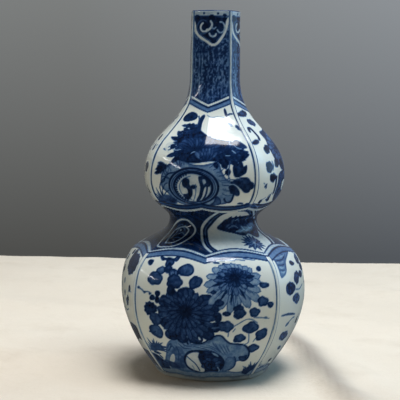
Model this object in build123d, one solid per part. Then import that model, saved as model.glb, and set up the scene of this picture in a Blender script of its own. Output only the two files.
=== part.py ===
"""Double gourd vase in moulded porcelain, sizes in millimetres.

The vase is pressed in moulds as six open sections, which are joined rim to rim with liquid clay.
Each section is a solid of its own, and so is the ring of slip that fills the groove inside each joint.
The origin is at the middle of the foot's resting plane, +Z is up and the front panel faces -Y.
"""

import math
import os

from build123d import *

# Heights, each measured from the one before
BELLY_RISE = 57.5
BELLY_TO_WAIST = 49.7
WAIST_TO_BULB = 30.8
BULB_TO_NECK = 68.5
NECK_LENGTH = 43.5

# Radii of the outside at the soft crease in the middle of each panel
FOOT_FLARE_RADIUS = 39.4
BELLY_RADIUS = 65.2
WAIST_RADIUS = 30.8
BULB_RADIUS = 50.0
NECK_RADIUS = 17.7
RIM_RADIUS = 17.3

# Fullness of each curve: how far it keeps the direction it starts or ends with, as a share of its rise
FOOT_FULLNESS = 0.285
FOOT_SLOPE = 0.78
BELLY_FULLNESS_BELOW = 0.39
BELLY_FULLNESS_ABOVE = 0.87
WAIST_FULLNESS_BELOW = 0.37
WAIST_FULLNESS_ABOVE = 0.23
BULB_FULLNESS_BELOW = 0.66
BULB_FULLNESS_ABOVE = 0.46
NECK_FULLNESS = 0.55

# Foot and floor
FOOT_RADIUS = 40.8
FOOT_HEIGHT = 3.4
FOOT_EDGE = 0.8
FOOT_WIDTH = 5.6
FOOT_RECESS = 4.2
FLOOR = 4.4
FLOOR_FILLET = 6.0

# Walls and mouth
WALL = 3.4
NECK_BORE_RADIUS = 13.5
LIP_EDGE = 0.9

# Moulded panels: four upright ribs, a soft crease between each two, and nearly flat faces between those
RIB_OUT_BELLY = 0.05
RIB_OUT_BULB = 0.04
RIB_OUT_NECK = 0.075
RIB_WIDTH = 3.0
RIB_TOP_WIDTH = 1.6
RIB_STAND = 0.4
CREASE_WIDTH = 3.0
FLATNESS = 0.6
WAIST_LOBING = 0.12
FOOT_LOBING = 0.45
GOURD_TURN = -6.0
GOURD_TURN_RISE = 8.0
PANEL_FULL_SHARE = 0.6
PANEL_FADE_BELOW_ARCH = 8.0
PANEL_FADE_BELOW_BULB = 10.0

# Moulded edge of the lower panels: eight arches round the shoulder
ARCH_CUSP_BELOW_WAIST = 19.4
ARCH_RISE = 3.2
ARCH_LEDGE = 1.4
ARCH_CORE_DEPTH = 6.0

# Joints between sections, measured from the waist and from the foot of the neck
SHOULDER_JOINT_BELOW_WAIST = 11.2
WAIST_JOINT_ABOVE_WAIST = 4.8
NECK_JOINT_BELOW_NECK = 20.5
SLIP_HALF_WIDTH = 1.5
SLIP_DEPTH = 1.4
SLIP_BEAD = 0.7

# How far a cutting block reaches past what it cuts, how finely a curve is searched and measured,
# and how many heights shape the inside
ROOM = 10.0
HALVINGS = 50
STEP = 0.1
INSIDE_COUNT = 25

# Heights that follow from the values above
BELLY_Z = BELLY_RISE
WAIST_Z = BELLY_Z + BELLY_TO_WAIST
BULB_Z = WAIST_Z + WAIST_TO_BULB
NECK_Z = BULB_Z + BULB_TO_NECK
HEIGHT = NECK_Z + NECK_LENGTH
SHOULDER_JOINT_Z = WAIST_Z - SHOULDER_JOINT_BELOW_WAIST
WAIST_JOINT_Z = WAIST_Z + WAIST_JOINT_ABOVE_WAIST
NECK_JOINT_Z = NECK_Z - NECK_JOINT_BELOW_NECK
ARCH_CUSP_Z = WAIST_Z - ARCH_CUSP_BELOW_WAIST
FLOOR_Z = FOOT_RECESS + FLOOR

PANELS = 4
FACE_ANGLE = 180.0 / PANELS


def stretch(low, high, low_slope, low_reach, high_reach):
    """Four control points, each (radius, height), of one stretch of the outline."""
    rise = high[1] - low[1]
    after_low = (low[0] + low_slope * low_reach * rise, low[1] + low_reach * rise)
    before_high = (high[0], high[1] - high_reach * rise)
    return low, after_low, before_high, high


FOOT = (FOOT_FLARE_RADIUS, 0.0)
BELLY = (BELLY_RADIUS, BELLY_Z)
WAIST = (WAIST_RADIUS, WAIST_Z)
BULB = (BULB_RADIUS, BULB_Z)
NECK = (NECK_RADIUS, NECK_Z)
RIM = (RIM_RADIUS, HEIGHT)

STRETCHES = [
    stretch(FOOT, BELLY, FOOT_SLOPE, FOOT_FULLNESS, BELLY_FULLNESS_BELOW),
    stretch(BELLY, WAIST, 0.0, BELLY_FULLNESS_ABOVE, WAIST_FULLNESS_BELOW),
    stretch(WAIST, BULB, 0.0, WAIST_FULLNESS_ABOVE, BULB_FULLNESS_BELOW),
    stretch(BULB, NECK, 0.0, BULB_FULLNESS_ABOVE, NECK_FULLNESS),
    stretch(NECK, RIM, 0.0, NECK_FULLNESS, NECK_FULLNESS),
]


def along(points, share):
    """Point on a cubic curve, at a share of the way from its first to its last control point."""
    a, b, c, d = points
    rest = 1.0 - share
    weights = (rest**3, 3 * rest**2 * share, 3 * rest * share**2, share**3)
    return tuple(sum(w * p[i] for w, p in zip(weights, (a, b, c, d))) for i in (0, 1))


def stretch_at(height):
    """The stretch that holds a height, and how far along it the height lies."""
    points = next((s for s in STRETCHES if height <= s[3][1]), STRETCHES[-1])
    low, high = 0.0, 1.0
    for _ in range(HALVINGS):
        middle = (low + high) / 2
        if along(points, middle)[1] < height:
            low = middle
        else:
            high = middle
    return points, (low + high) / 2


def crease_radius(height):
    """Radius of the outside at a panel's middle crease."""
    points, share = stretch_at(height)
    return along(points, share)[0]


def steady(height, stops):
    """Value at a height that eases from stop to stop, each (height, value)."""
    if height <= stops[0][0]:
        return stops[0][1]
    for (low, before), (high, after) in zip(stops, stops[1:]):
        if height <= high:
            share = (height - low) / (high - low)
            return before + (after - before) * share * share * (3 - 2 * share)
    return stops[-1][1]


def lobing(height):
    """How strongly the panels show: 1 on the gourds and neck, little at the waist and foot."""
    stops = [
        (0.0, FOOT_LOBING),
        (BELLY_Z * PANEL_FULL_SHARE, 1.0),
        (ARCH_CUSP_Z - PANEL_FADE_BELOW_ARCH, 1.0),
        (WAIST_Z, WAIST_LOBING),
        (BULB_Z - PANEL_FADE_BELOW_BULB, 1.0),
        (HEIGHT, 1.0),
    ]
    return steady(height, stops)


def rib_out(height):
    """Share by which the corner under a rib stands out past the creases."""
    stops = [
        (ARCH_CUSP_Z, RIB_OUT_BELLY),
        (BULB_Z, RIB_OUT_BULB),
        (NECK_JOINT_Z, RIB_OUT_BULB),
        (NECK_Z, RIB_OUT_NECK),
    ]
    return steady(height, stops)


def turn(height):
    """Degrees by which the upper gourd was set round when it was joined to the lower one."""
    return steady(height, [(SHOULDER_JOINT_Z, 0.0), (WAIST_JOINT_Z + GOURD_TURN_RISE, GOURD_TURN)])


def face_ratio(height, degrees):
    """Radius over the crease radius, at an angle of 0 to FACE_ANGLE from a crease towards a rib."""
    shown = lobing(height)
    corner = 1.0 + rib_out(height) * shown
    side = math.radians(FACE_ANGLE)
    angle = math.radians(degrees)
    corner_x = corner * math.cos(side)
    corner_y = corner * math.sin(side)
    chord = corner_y / (math.cos(angle) * corner_y - math.sin(angle) * (corner_x - 1.0))
    circle = 1.0 + (corner - 1.0) * degrees / FACE_ANGLE
    flat = FLATNESS * shown
    return chord * flat + circle * (1.0 - flat)


def at(radius, degrees, height):
    """Point at an angle from -Y, turning towards +X."""
    angle = math.radians(degrees + turn(height))
    return (radius * math.sin(angle), -radius * math.cos(angle), height)


def outline(height, radius=None, inset=0.0):
    """Closed outline of the outside: a crease, a face, a flat-topped rib and a face in each quarter."""
    radius = crease_radius(height) if radius is None else radius
    rib_half, top_half, crease_half = (
        math.degrees(width / 2 / radius) for width in (RIB_WIDTH, RIB_TOP_WIDTH, CREASE_WIDTH)
    )
    middle = (crease_half + FACE_ANGLE - rib_half) / 2
    stand = RIB_STAND * lobing(height)
    crease_side = (radius * face_ratio(height, crease_half) - inset, crease_half)
    face_middle = (radius * face_ratio(height, middle) - inset, middle)
    rib_foot = (radius * face_ratio(height, FACE_ANGLE - rib_half) - inset, FACE_ANGLE - rib_half)
    rib_top = (radius * face_ratio(height, FACE_ANGLE) + stand - inset, FACE_ANGLE - top_half)
    half = [crease_side, face_middle, rib_foot, rib_top]
    edges = []
    for panel in range(PANELS):
        crease = panel * 2 * FACE_ANGLE
        rising = [at(r, crease + degrees, height) for r, degrees in half]
        falling = [at(r, crease + 2 * FACE_ANGLE - degrees, height) for r, degrees in reversed(half)]
        before = at(crease_side[0], crease - crease_half, height)
        edges += [
            Line(before, rising[0]),
            ThreePointArc(*rising[:3]),
            Line(*rising[2:]),
            Line(rising[3], falling[0]),
            Line(*falling[:2]),
            ThreePointArc(*falling[1:]),
        ]
    return Face(Wire(edges))


def heights(low, high, count):
    """Evenly spaced heights, both ends included."""
    return [low + (high - low) * step / (count - 1) for step in range(count)]


def body(low, high, count, inset=None):
    """Solid block of a section's outside between two heights."""
    inset = inset or (lambda height: 0.0)
    return loft([outline(height, inset=inset(height)) for height in heights(low, high, count)])


def thinnest_radius(height):
    """Least radius of the outside, in the middle of a face."""
    return crease_radius(height) * face_ratio(height, FACE_ANGLE / 2)


def slope(height):
    """Change of radius over change of height of the outside."""
    return (thinnest_radius(height + STEP) - thinnest_radius(height - STEP)) / (2 * STEP)


def inner_point(height):
    """Point of the inside, (radius, height), one wall in from the outside at a height."""
    lean = slope(height)
    length = math.hypot(1.0, lean)
    return (thinnest_radius(height) - WALL / length, height + WALL * lean / length)


def inner_radius(height):
    """Radius of the inside at its own height."""
    low, high = FLOOR_Z, NECK_Z
    for _ in range(HALVINGS):
        middle = (low + high) / 2
        if inner_point(middle)[1] < height:
            low = middle
        else:
            high = middle
    return inner_point((low + high) / 2)[0]


def hollow():
    """The space inside: round, in short straight runs, with a straight bore in the neck."""
    wall = [(inner_radius(z), 0, z) for z in heights(FLOOR_Z, NECK_Z, INSIDE_COUNT)[:-1]]
    top = HEIGHT + ROOM
    bore = [(NECK_BORE_RADIUS, 0, NECK_Z), (NECK_BORE_RADIUS, 0, top)]
    profile = Polyline(*wall, *bore, (0, 0, top), (0, 0, FLOOR_Z), wall[0])
    space = revolve(Face(Wire(profile.edges())), Axis.Z)
    corner = space.edges().filter_by(GeomType.CIRCLE).sort_by(Axis.Z)[0]
    return fillet(corner, FLOOR_FILLET)


def slip_ring(height):
    """Ring of slip: a wedge that fills the groove of a joint, and its bead inside the wall."""
    radius = inner_radius(height)
    lean = (inner_radius(height + STEP) - inner_radius(height - STEP)) / (2 * STEP)
    length = math.hypot(1.0, lean)
    half = SLIP_HALF_WIDTH / length
    below = (inner_radius(height - half), 0, height - half)
    above = (inner_radius(height + half), 0, height + half)
    deep = (radius + SLIP_DEPTH * length, 0, height)
    bead = (radius - SLIP_BEAD / length, 0, height + SLIP_BEAD * lean / length)
    return revolve(Face(Wire(Polyline(below, deep, above, bead, below).edges())), Axis.Z)


def foot_ring():
    """Outside of the foot, with its lower edge eased all round."""
    levels = [
        (0.0, FOOT_RADIUS - FOOT_EDGE),
        (FOOT_EDGE, FOOT_RADIUS),
        (FOOT_HEIGHT, FOOT_RADIUS),
    ]
    return loft([outline(height, radius) for height, radius in levels], ruled=True)


def foot_recess():
    """Shallow hollow under the base, with a sloped inner side to the foot ring."""
    outer = FOOT_RADIUS - FOOT_EDGE - FOOT_WIDTH
    profile = Polyline(
        (0, 0, -ROOM),
        (outer, 0, -ROOM),
        (outer, 0, 0),
        (outer - FOOT_EDGE, 0, FOOT_RECESS),
        (0, 0, FOOT_RECESS),
        (0, 0, -ROOM),
    )
    return revolve(Face(Wire(profile.edges())), Axis.Z)


def base_bowl():
    """Lower half of the large gourd, with the floor and the foot."""
    bowl = body(FOOT_HEIGHT, BELLY_Z, 7)
    return bowl + foot_ring() - foot_recess()


def arch_face(middle):
    """Prism under one arch of the shoulder, standing square to the face at an angle."""
    reach = BELLY_RADIUS + ROOM
    half = crease_radius(ARCH_CUSP_Z) * math.sin(math.radians(FACE_ANGLE / 2))
    base = ARCH_CUSP_Z - ROOM
    arch = ThreePointArc((half, ARCH_CUSP_Z), (0, ARCH_CUSP_Z + ARCH_RISE), (-half, ARCH_CUSP_Z))
    sides = Polyline((-half, ARCH_CUSP_Z), (-half, base), (half, base), (half, ARCH_CUSP_Z))
    prism = extrude(Plane.XZ * Face(Wire([arch] + sides.edges())), reach)
    return Rot(0, 0, middle) * prism


def belly_dome():
    """Upper half of the large gourd, whose panels end in raised arches at the shoulder."""
    def ledge(height):
        return steady(height, [(ARCH_CUSP_Z + ARCH_RISE, ARCH_LEDGE), (SHOULDER_JOINT_Z, 0.0)])

    panels = body(BELLY_Z, SHOULDER_JOINT_Z, 8)
    size = 2 * (BELLY_RADIUS + ROOM)
    above = Pos(0, 0, ARCH_CUSP_Z) * Box(size, size, HEIGHT, align=(Align.CENTER, Align.CENTER, Align.MIN))
    for face in range(2 * PANELS):
        above -= arch_face((face + 0.5) * FACE_ANGLE)
    core = body(ARCH_CUSP_Z - ARCH_CORE_DEPTH, SHOULDER_JOINT_Z, 5, ledge)
    return panels - above + core


def waist_collar():
    """Waist between the two gourds."""
    return body(SHOULDER_JOINT_Z, WAIST_JOINT_Z, 4)


def upper_bowl():
    """Lower half of the small gourd."""
    return body(WAIST_JOINT_Z, BULB_Z, 6)


def upper_dome():
    """Upper half of the small gourd, up to the foot of the neck."""
    return body(BULB_Z, NECK_JOINT_Z, 7)


def neck_tube():
    """Four-sided neck, with its lip eased inside and out."""
    tube = body(NECK_JOINT_Z, HEIGHT - LIP_EDGE, 7)
    levels = [(HEIGHT - LIP_EDGE, 0.0), (HEIGHT, LIP_EDGE)]
    lip = loft([outline(height, inset=inset) for height, inset in levels], ruled=True)
    flare = Pos(0, 0, HEIGHT - LIP_EDGE / 2) * Cone(NECK_BORE_RADIUS, NECK_BORE_RADIUS + LIP_EDGE, LIP_EDGE)
    return tube + lip - flare


def main():
    joints = {
        "belly_luting_ring": BELLY_Z,
        "shoulder_luting_ring": SHOULDER_JOINT_Z,
        "waist_luting_ring": WAIST_JOINT_Z,
        "bulb_luting_ring": BULB_Z,
        "neck_luting_ring": NECK_JOINT_Z,
    }
    rings = {name: slip_ring(height) for name, height in joints.items()}
    space = hollow()
    sections = {
        "base_bowl": base_bowl(),
        "belly_dome": belly_dome(),
        "waist_collar": waist_collar(),
        "upper_bowl": upper_bowl(),
        "upper_dome": upper_dome(),
        "neck_tube": neck_tube(),
    }
    os.makedirs("parts", exist_ok=True)
    for name, section in sections.items():
        shell = section - space
        for ring in rings.values():
            shell -= ring
        export_step(shell, f"parts/{name}.step")
    for name, ring in rings.items():
        export_step(ring, f"parts/{name}.step")


if __name__ == "__main__":
    main()
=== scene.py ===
"""Looks of the double gourd vase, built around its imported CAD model.

Each moulded section of the vase gets a close-meshed skin on the same outline as its solid. The cobalt
painting is worked out at every point of that skin, panel by panel, and kept as an attribute that the
glaze material reads. Sizes of the vase and of the painting are in millimetres. Angles run from -Y
towards +X, and a panel's own x runs to the right from its middle crease.
"""

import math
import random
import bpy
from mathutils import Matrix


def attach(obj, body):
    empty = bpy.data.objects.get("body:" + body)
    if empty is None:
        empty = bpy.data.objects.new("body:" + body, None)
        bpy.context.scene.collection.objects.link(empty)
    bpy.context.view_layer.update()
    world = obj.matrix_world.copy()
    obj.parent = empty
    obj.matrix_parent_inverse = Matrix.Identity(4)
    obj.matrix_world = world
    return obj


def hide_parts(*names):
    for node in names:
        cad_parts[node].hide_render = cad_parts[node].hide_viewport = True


bl_info = {
    "name": "Double gourd vase",
    "version": (1, 0, 0),
    "blender": (4, 5, 0),
    "location": "View3D > Sidebar > Vase",
    "description": "Builds a moulded blue and white vase of double gourd form",
    "category": "Add Mesh",
}

import bpy
import numpy as np
from bpy.props import FloatProperty, FloatVectorProperty, PointerProperty
from mathutils import Matrix, Quaternion, Vector

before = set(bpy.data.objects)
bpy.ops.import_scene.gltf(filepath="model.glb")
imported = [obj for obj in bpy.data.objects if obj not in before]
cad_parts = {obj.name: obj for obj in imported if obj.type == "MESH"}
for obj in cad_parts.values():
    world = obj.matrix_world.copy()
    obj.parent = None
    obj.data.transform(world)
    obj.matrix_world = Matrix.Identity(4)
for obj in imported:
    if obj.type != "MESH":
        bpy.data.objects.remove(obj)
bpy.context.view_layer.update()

MM = 0.001
TURN = 2 * math.pi

# Outline of the outside at the soft crease in the middle of each panel: (radius, height)
FOOT_FLARE = (39.4, 0.0)
BELLY = (65.2, 57.5)
WAIST = (30.8, 107.2)
BULB = (50.0, 138.0)
NECK = (17.7, 206.5)
RIM = (17.3, 250.0)
SHOULDER_JOINT = 96.0
WAIST_JOINT = 112.0
NECK_JOINT = 186.0

FOOT_RADIUS = 40.8
FOOT_HEIGHT = 3.4
FOOT_WIDTH = 5.6
FOOT_EDGE = 0.8
RECESS = 4.2
FLOOR = 8.6
FLOOR_ROUND = 5.5
WALL = 3.4
BORE = 13.5
LIP = 0.9
GROOVE = 1.4
GROOVE_HALF = 1.5

# Moulding
RIB_HALF = 1.5
RIB_TOP_HALF = 0.8
RIB_STAND = 0.4
CREASE_HALF = 2.2
FLATNESS = 0.6
ARCH_CUSP = 87.8
ARCH_RISE = 3.2
ARCH_LEDGE = 1.4
ARCH_SLOPE = 0.5
GOURD_TURN = -6.0
PRESS_MARK = 0.22
FACE = math.pi / 4


def stretch(low, high, low_slope, low_reach, high_reach):
    """Radii and heights along one cubic stretch of the outline."""
    rise = high[1] - low[1]
    points = np.array([
        low,
        (low[0] + low_slope * low_reach * rise, low[1] + low_reach * rise),
        (high[0], high[1] - high_reach * rise),
        high,
    ])
    t = np.linspace(0, 1, 300)
    weights = np.stack([(1 - t) ** 3, 3 * t * (1 - t) ** 2, 3 * t**2 * (1 - t), t**3], 1)
    return weights @ points


OUTLINE = np.concatenate([
    stretch(FOOT_FLARE, BELLY, 0.78, 0.285, 0.39),
    stretch(BELLY, WAIST, 0, 0.87, 0.37),
    stretch(WAIST, BULB, 0, 0.23, 0.66),
    stretch(BULB, NECK, 0, 0.46, 0.55),
    stretch(NECK, RIM, 0, 0.55, 0.55),
])
OUTLINE_RUN = np.concatenate([[0], np.cumsum(np.hypot(*np.diff(OUTLINE, axis=0).T))])


def girth(z):
    """Radius of the outside at a panel's middle crease."""
    return np.interp(z, OUTLINE[:, 1], OUTLINE[:, 0])


def run(z):
    """Length up the outline from the foot to a height."""
    return np.interp(z, OUTLINE[:, 1], OUTLINE_RUN)


def height_at(length):
    """Height that lies a length up the outline."""
    return np.interp(length, OUTLINE_RUN, OUTLINE[:, 1])


def eased(x, stops):
    """Value at x that eases from stop to stop, each (x, value)."""
    value = np.full_like(np.asarray(x, float), stops[0][1])
    for (low, before), (high, after) in zip(stops, stops[1:]):
        t = np.clip((x - low) / (high - low), 0, 1)
        value += (after - before) * t * t * (3 - 2 * t)
    return value


def lobing(z):
    """How strongly the panels show."""
    return eased(z, [
        (0, 0.45), (BELLY[1] * 0.6, 1), (ARCH_CUSP - 8, 1), (WAIST[1], 0.12), (BULB[1] - 10, 1), (RIM[1], 1),
    ])


def rib_out(z):
    """Share by which the corner under a rib stands out past the creases."""
    return eased(z, [(ARCH_CUSP, 0.05), (BULB[1], 0.04), (NECK_JOINT, 0.04), (NECK[1], 0.075)])


def turn(z):
    """Radians by which the upper gourd was set round on the lower one."""
    return eased(z, [(SHOULDER_JOINT, 0), (120, math.radians(GOURD_TURN))])


def wrapped(angle, whole=TURN):
    """The angle brought to within half of a whole, either way."""
    return (angle + whole / 2) % whole - whole / 2


def face_ratio(angle, z):
    """Radius over the crease radius, before the ribs are added."""
    shown = lobing(z)
    corner = 1 + rib_out(z) * shown
    away = np.abs(wrapped(angle, 2 * FACE))
    soft = CREASE_HALF / girth(z)
    away = np.where(away < soft, (away**2 + soft**2) / (2 * soft), away)
    corner_x, corner_y = corner * math.cos(FACE), corner * math.sin(FACE)
    chord = corner_y / (np.cos(away) * corner_y - np.sin(away) * (corner_x - 1))
    circle = 1 + (corner - 1) * away / FACE
    flat = FLATNESS * shown
    return chord * flat + circle * (1 - flat)


def from_rib(angle, z):
    """Distance round the surface from the nearest rib's middle."""
    return (FACE - np.abs(wrapped(angle, 2 * FACE))) * girth(z)


def arch_height(angle):
    """Height of the shoulder's moulded edge."""
    off = wrapped(angle - FACE / 2, FACE)
    return ARCH_CUSP + ARCH_RISE * (1 - (np.sin(off) / math.sin(FACE / 2)) ** 2)


def waves(a, b, seed, scale, count=5):
    """Soft unevenness of about -1 to 1, the same each time, over two coordinates."""
    rng = random.Random(seed)
    total = np.zeros_like(a)
    for _ in range(count):
        heading, size = rng.uniform(0, TURN), rng.uniform(0.6, 1.7) / scale
        phase = rng.uniform(0, TURN)
        total += np.sin((a * math.cos(heading) + b * math.sin(heading)) * size * TURN + phase)
    return total / count


def mottle(a, b, seed, size):
    """Blotchy unevenness from 0 to 1, the same each time, over two coordinates."""
    cells = 97
    grid = np.random.default_rng(seed).random((cells, cells))
    total = 0
    for share, step in ((0.65, size), (0.35, size * 0.43)):
        u, v = a / step + 7.3, b / step + 31.1
        i, j = np.floor(u).astype(int), np.floor(v).astype(int)
        s, t = u - i, v - j
        s, t = s * s * (3 - 2 * s), t * t * (3 - 2 * t)
        near, far = grid[i % cells], grid[(i + 1) % cells]
        rows = np.arange(len(i))
        low = near[rows, j % cells] * (1 - s) + far[rows, j % cells] * s
        high = near[rows, (j + 1) % cells] * (1 - s) + far[rows, (j + 1) % cells] * s
        total = total + share * (low * (1 - t) + high * t)
    return total


def outside(angle, z, radius):
    """Radius of the outside, from the crease's radius at the same height."""
    rib = RIB_STAND * lobing(z) * eased(from_rib(angle, z), [(RIB_TOP_HALF, 1), (RIB_HALF, 0)])
    above = eased(z - arch_height(angle), [(-ARCH_SLOPE, 0), (ARCH_SLOPE, 1)])
    ledge = above * eased(z, [(ARCH_CUSP + ARCH_RISE, ARCH_LEDGE), (SHOULDER_JOINT, 0)])
    x, y = radius * np.sin(angle), radius * np.cos(angle)
    mark = PRESS_MARK * (0.5 + 0.5 * waves(x + 0.3 * z, y + z, 5, 34, 7))
    mark *= eased(z, [(2, 0), (14, 1)])
    return radius * face_ratio(angle, z) + rib - ledge - mark


def inside_table():
    """Radii and heights of the inside, one wall in from the outside."""
    z = np.linspace(4, NECK[1] + 10, 1500)
    thin = girth(z) * face_ratio(np.full_like(z, FACE / 2), z)
    lean = np.gradient(thin, z)
    length = np.hypot(1, lean)
    table = np.stack([thin - WALL / length, z + WALL * lean / length], 1)
    return table[np.argsort(table[:, 1])]


INSIDE = inside_table()


def bore(z):
    """Radius of the inside at a height."""
    return np.where(z < NECK[1], np.maximum(np.interp(z, INSIDE[:, 1], INSIDE[:, 0]), BORE), BORE)


# The painting

# Middle angles of the panels, from the front to the right
PANELS = (0, 90, 180, 270)


class Ground:
    """Points of one skin: where each lies on the vase, and the cobalt laid on it so far."""

    def __init__(self, angle, z):
        self.angle, self.z = angle, z
        self.up, self.girth = run(z), girth(z)
        self.tone = np.zeros_like(angle)

    def lay(self, chosen, cover, tone):
        """Lays a tone of cobalt over the chosen points, as far as each is covered."""
        self.tone[chosen] += (tone - self.tone[chosen]) * cover


# How unevenly a wash lies
WASH = 0.32


class Panel:
    """The part of a ground round one middle angle, in that panel's own coordinates."""

    REACH = 1.0  # radians to either side

    def __init__(self, ground, middle):
        away = wrapped(ground.angle - math.radians(middle))
        self.chosen = np.nonzero(np.abs(away) < self.REACH)[0]
        self.ground = ground
        self.away = away[self.chosen]
        self.up = ground.up[self.chosen]
        self.girth = ground.girth[self.chosen]
        self.z = ground.z[self.chosen]

    def near(self, line, reach):
        """Points within reach of a line's own box."""
        low, high = line.min(0), line.max(0)
        wide = reach / max(float(girth(height_at(low[1]))), 12.0) * 1.4
        return np.nonzero(
            (self.away > low[0] - wide) & (self.away < high[0] + wide)
            & (self.up > low[1] - reach) & (self.up < high[1] + reach)
        )[0]

    def distance(self, near, line, widths, closed):
        """Distance from the line's edge, negative inside it."""
        x = (line[None, :, 0] - self.away[near, None]) * self.girth[near, None]
        y = line[None, :, 1] - self.up[near, None]
        x0, y0, dx, dy = x[:, :-1], y[:, :-1], np.diff(x), np.diff(y)
        along = np.clip(-(x0 * dx + y0 * dy) / (dx * dx + dy * dy + 1e-9), 0, 1)
        apart = np.hypot(x0 + along * dx, y0 + along * dy)
        if not closed:
            return (apart - (widths[None, :-1] + np.diff(widths)[None] * along)).min(1)
        crosses = (y0 > 0) != (y[:, 1:] > 0)
        at = x0 - y0 * dx / np.where(np.abs(dy) < 1e-9, 1e-9, dy)
        inner = ((crosses & (at > 0)).sum(1) % 2).astype(bool)
        return np.where(inner, -1, 1) * apart.min(1)

    def fill(self, line, tone, edge=None, edge_width=0.8, soft=0.3, grow=0.0, shade=None):
        """Fills a closed line with a tone, gathered darker or paler along its edge."""
        line = np.concatenate([line, line[:1]])
        near = self.near(line, grow + soft + 0.5)
        if not len(near):
            return
        sd = self.distance(near, line, None, True) - grow
        wash = mottle(self.away[near] * self.girth[near], self.up[near], 8, 2.1) - 0.5
        laid = tone + wash * WASH * min(1.0, tone * 1.6)
        if shade:
            middle = (line.min(0) + line.max(0)) / 2
            u = (self.away[near] - middle[0]) * self.girth[near]
            laid = laid * shade(u, self.up[near] - middle[1])
        if edge is not None:
            laid += (edge - laid) * np.exp(-((sd / edge_width) ** 2))
        cover = 1 - eased(sd, [(-soft, 0), (soft, 1)])
        self.ground.lay(self.chosen[near], cover, np.clip(laid, 0, 1))

    def stroke(self, line, widths, tone, soft=0.3):
        """Draws a brush line whose half widths are given at its points."""
        near = self.near(line, float(widths.max()) + soft + 0.5)
        if len(near):
            sd = self.distance(near, line, widths, False)
            cover = 1 - eased(sd, [(-soft, 0), (soft, 1)])
            self.ground.lay(self.chosen[near], cover, tone)


def smooth_line(points, closed=False):
    """The points joined by a smooth curve through them all."""
    p = np.asarray(points, float)
    if closed:
        p = np.concatenate([p[-1:], p, p[:2]])
    else:
        p = np.concatenate([2 * p[:1] - p[1:2], p, 2 * p[-1:] - p[-2:-1]])
    t = np.linspace(0, 1, 5, endpoint=False)[:, None]
    out = []
    for a, b, c, d in zip(p, p[1:], p[2:], p[3:]):
        bend = (2 * a - 5 * b + 4 * c - d) * t**2 + (3 * b - a - 3 * c + d) * t**3
        out.append(0.5 * (2 * b + (c - a) * t + bend))
    out.append(p[-2:-1])
    return np.concatenate(out)


def placed(points):
    """Panel points (x, height) as (angle, length up the outline)."""
    p = np.asarray(points, float)
    return np.stack([p[:, 0] / girth(p[:, 1]), run(p[:, 1])], 1)


def by_angle(points):
    """Points (degrees from the panel's middle, height) as (angle, length up the outline)."""
    p = np.asarray(points, float)
    return np.stack([np.radians(p[:, 0]), run(p[:, 1])], 1)


def around(x, z, u, v):
    """Points u across and v up from a place of the panel, as (angle, length up the outline)."""
    return np.stack([(x + u) / girth(z), run(z) + v], 1)


def spun(u, v, lean):
    """Turned anticlockwise by degrees."""
    a = math.radians(lean)
    return u * math.cos(a) - v * math.sin(a), u * math.sin(a) + v * math.cos(a)


def line(panel, points, width=0.7, tone=0.85, taper=(1.0, 1.0)):
    """A brush line through panel points, thinned towards its ends."""
    curve = smooth_line(points)
    t = np.linspace(0, 1, len(curve))
    swell = np.sin(np.pi * t) ** 0.6
    ends = taper[0] * (1 - t) + taper[1] * t
    panel.stroke(placed(curve), width / 2 * (ends + (1 - ends) * swell), tone)


def area(panel, points, tone=0.4, edge=None, **how):
    """A washed area with a smooth outline through panel points."""
    panel.fill(placed(smooth_line(points, closed=True)), tone, edge, **how)


def round_leaf(panel, x, z, wide, high, lean=0, tone=0.9, edge=None, lobes=0, pale=0, depth=0.14, point=0):
    """A rounded leaf: lobes cut it into scallops, a negative depth makes them teeth."""
    a = np.linspace(0, TURN, 49)
    r = 1 / np.sqrt((np.cos(a) / (wide / 2)) ** 2 + (np.sin(a) / (high / 2)) ** 2)
    if lobes:
        ripple = np.abs(np.cos(lobes * a / 2))
        r = r * (1 - abs(depth) * ((1 - ripple) if depth > 0 else ripple))
    r = r * (1 + 0.06 * np.sin(2 * a + x) + 0.05 * np.sin(3 * a + z))
    r = r * (1 + point * np.maximum(np.cos(a), 0) ** 8)
    u, v = spun(r * np.cos(a), r * np.sin(a), lean)
    gathered = tone if edge is None else edge

    def shade(u, v):
        return 1 - pale * np.clip(0.5 + (u + v) / (wide + high), 0, 1)
    panel.fill(around(x, z, u, v), tone, gathered, 0.9, shade=shade if pale else None)


def long_leaf(panel, x, z, length, width, lean=0, tone=0.88, edge=None, teeth=0, vein=0.0):
    """A leaf from its stalk end at x, z, pointed at its tip, with teeth along its sides."""
    t = np.linspace(0, 1, 25)
    half = width / 2 * np.sin(np.pi * t**0.8) ** 0.8
    if teeth:
        half = half * (0.72 + 0.36 * np.abs(np.sin(teeth * np.pi * t)))
    u = np.concatenate([t, t[::-1]]) * length
    v = np.concatenate([half, -half[::-1]])
    panel.fill(around(x, z, *spun(u, v, lean)), tone, tone if edge is None else edge, 0.7)
    if vein:
        u, v = spun(t[2:-3] * length, 0, lean)
        panel.stroke(around(x, z, u, v), np.full(len(u), 0.22), vein, 0.25)


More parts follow.
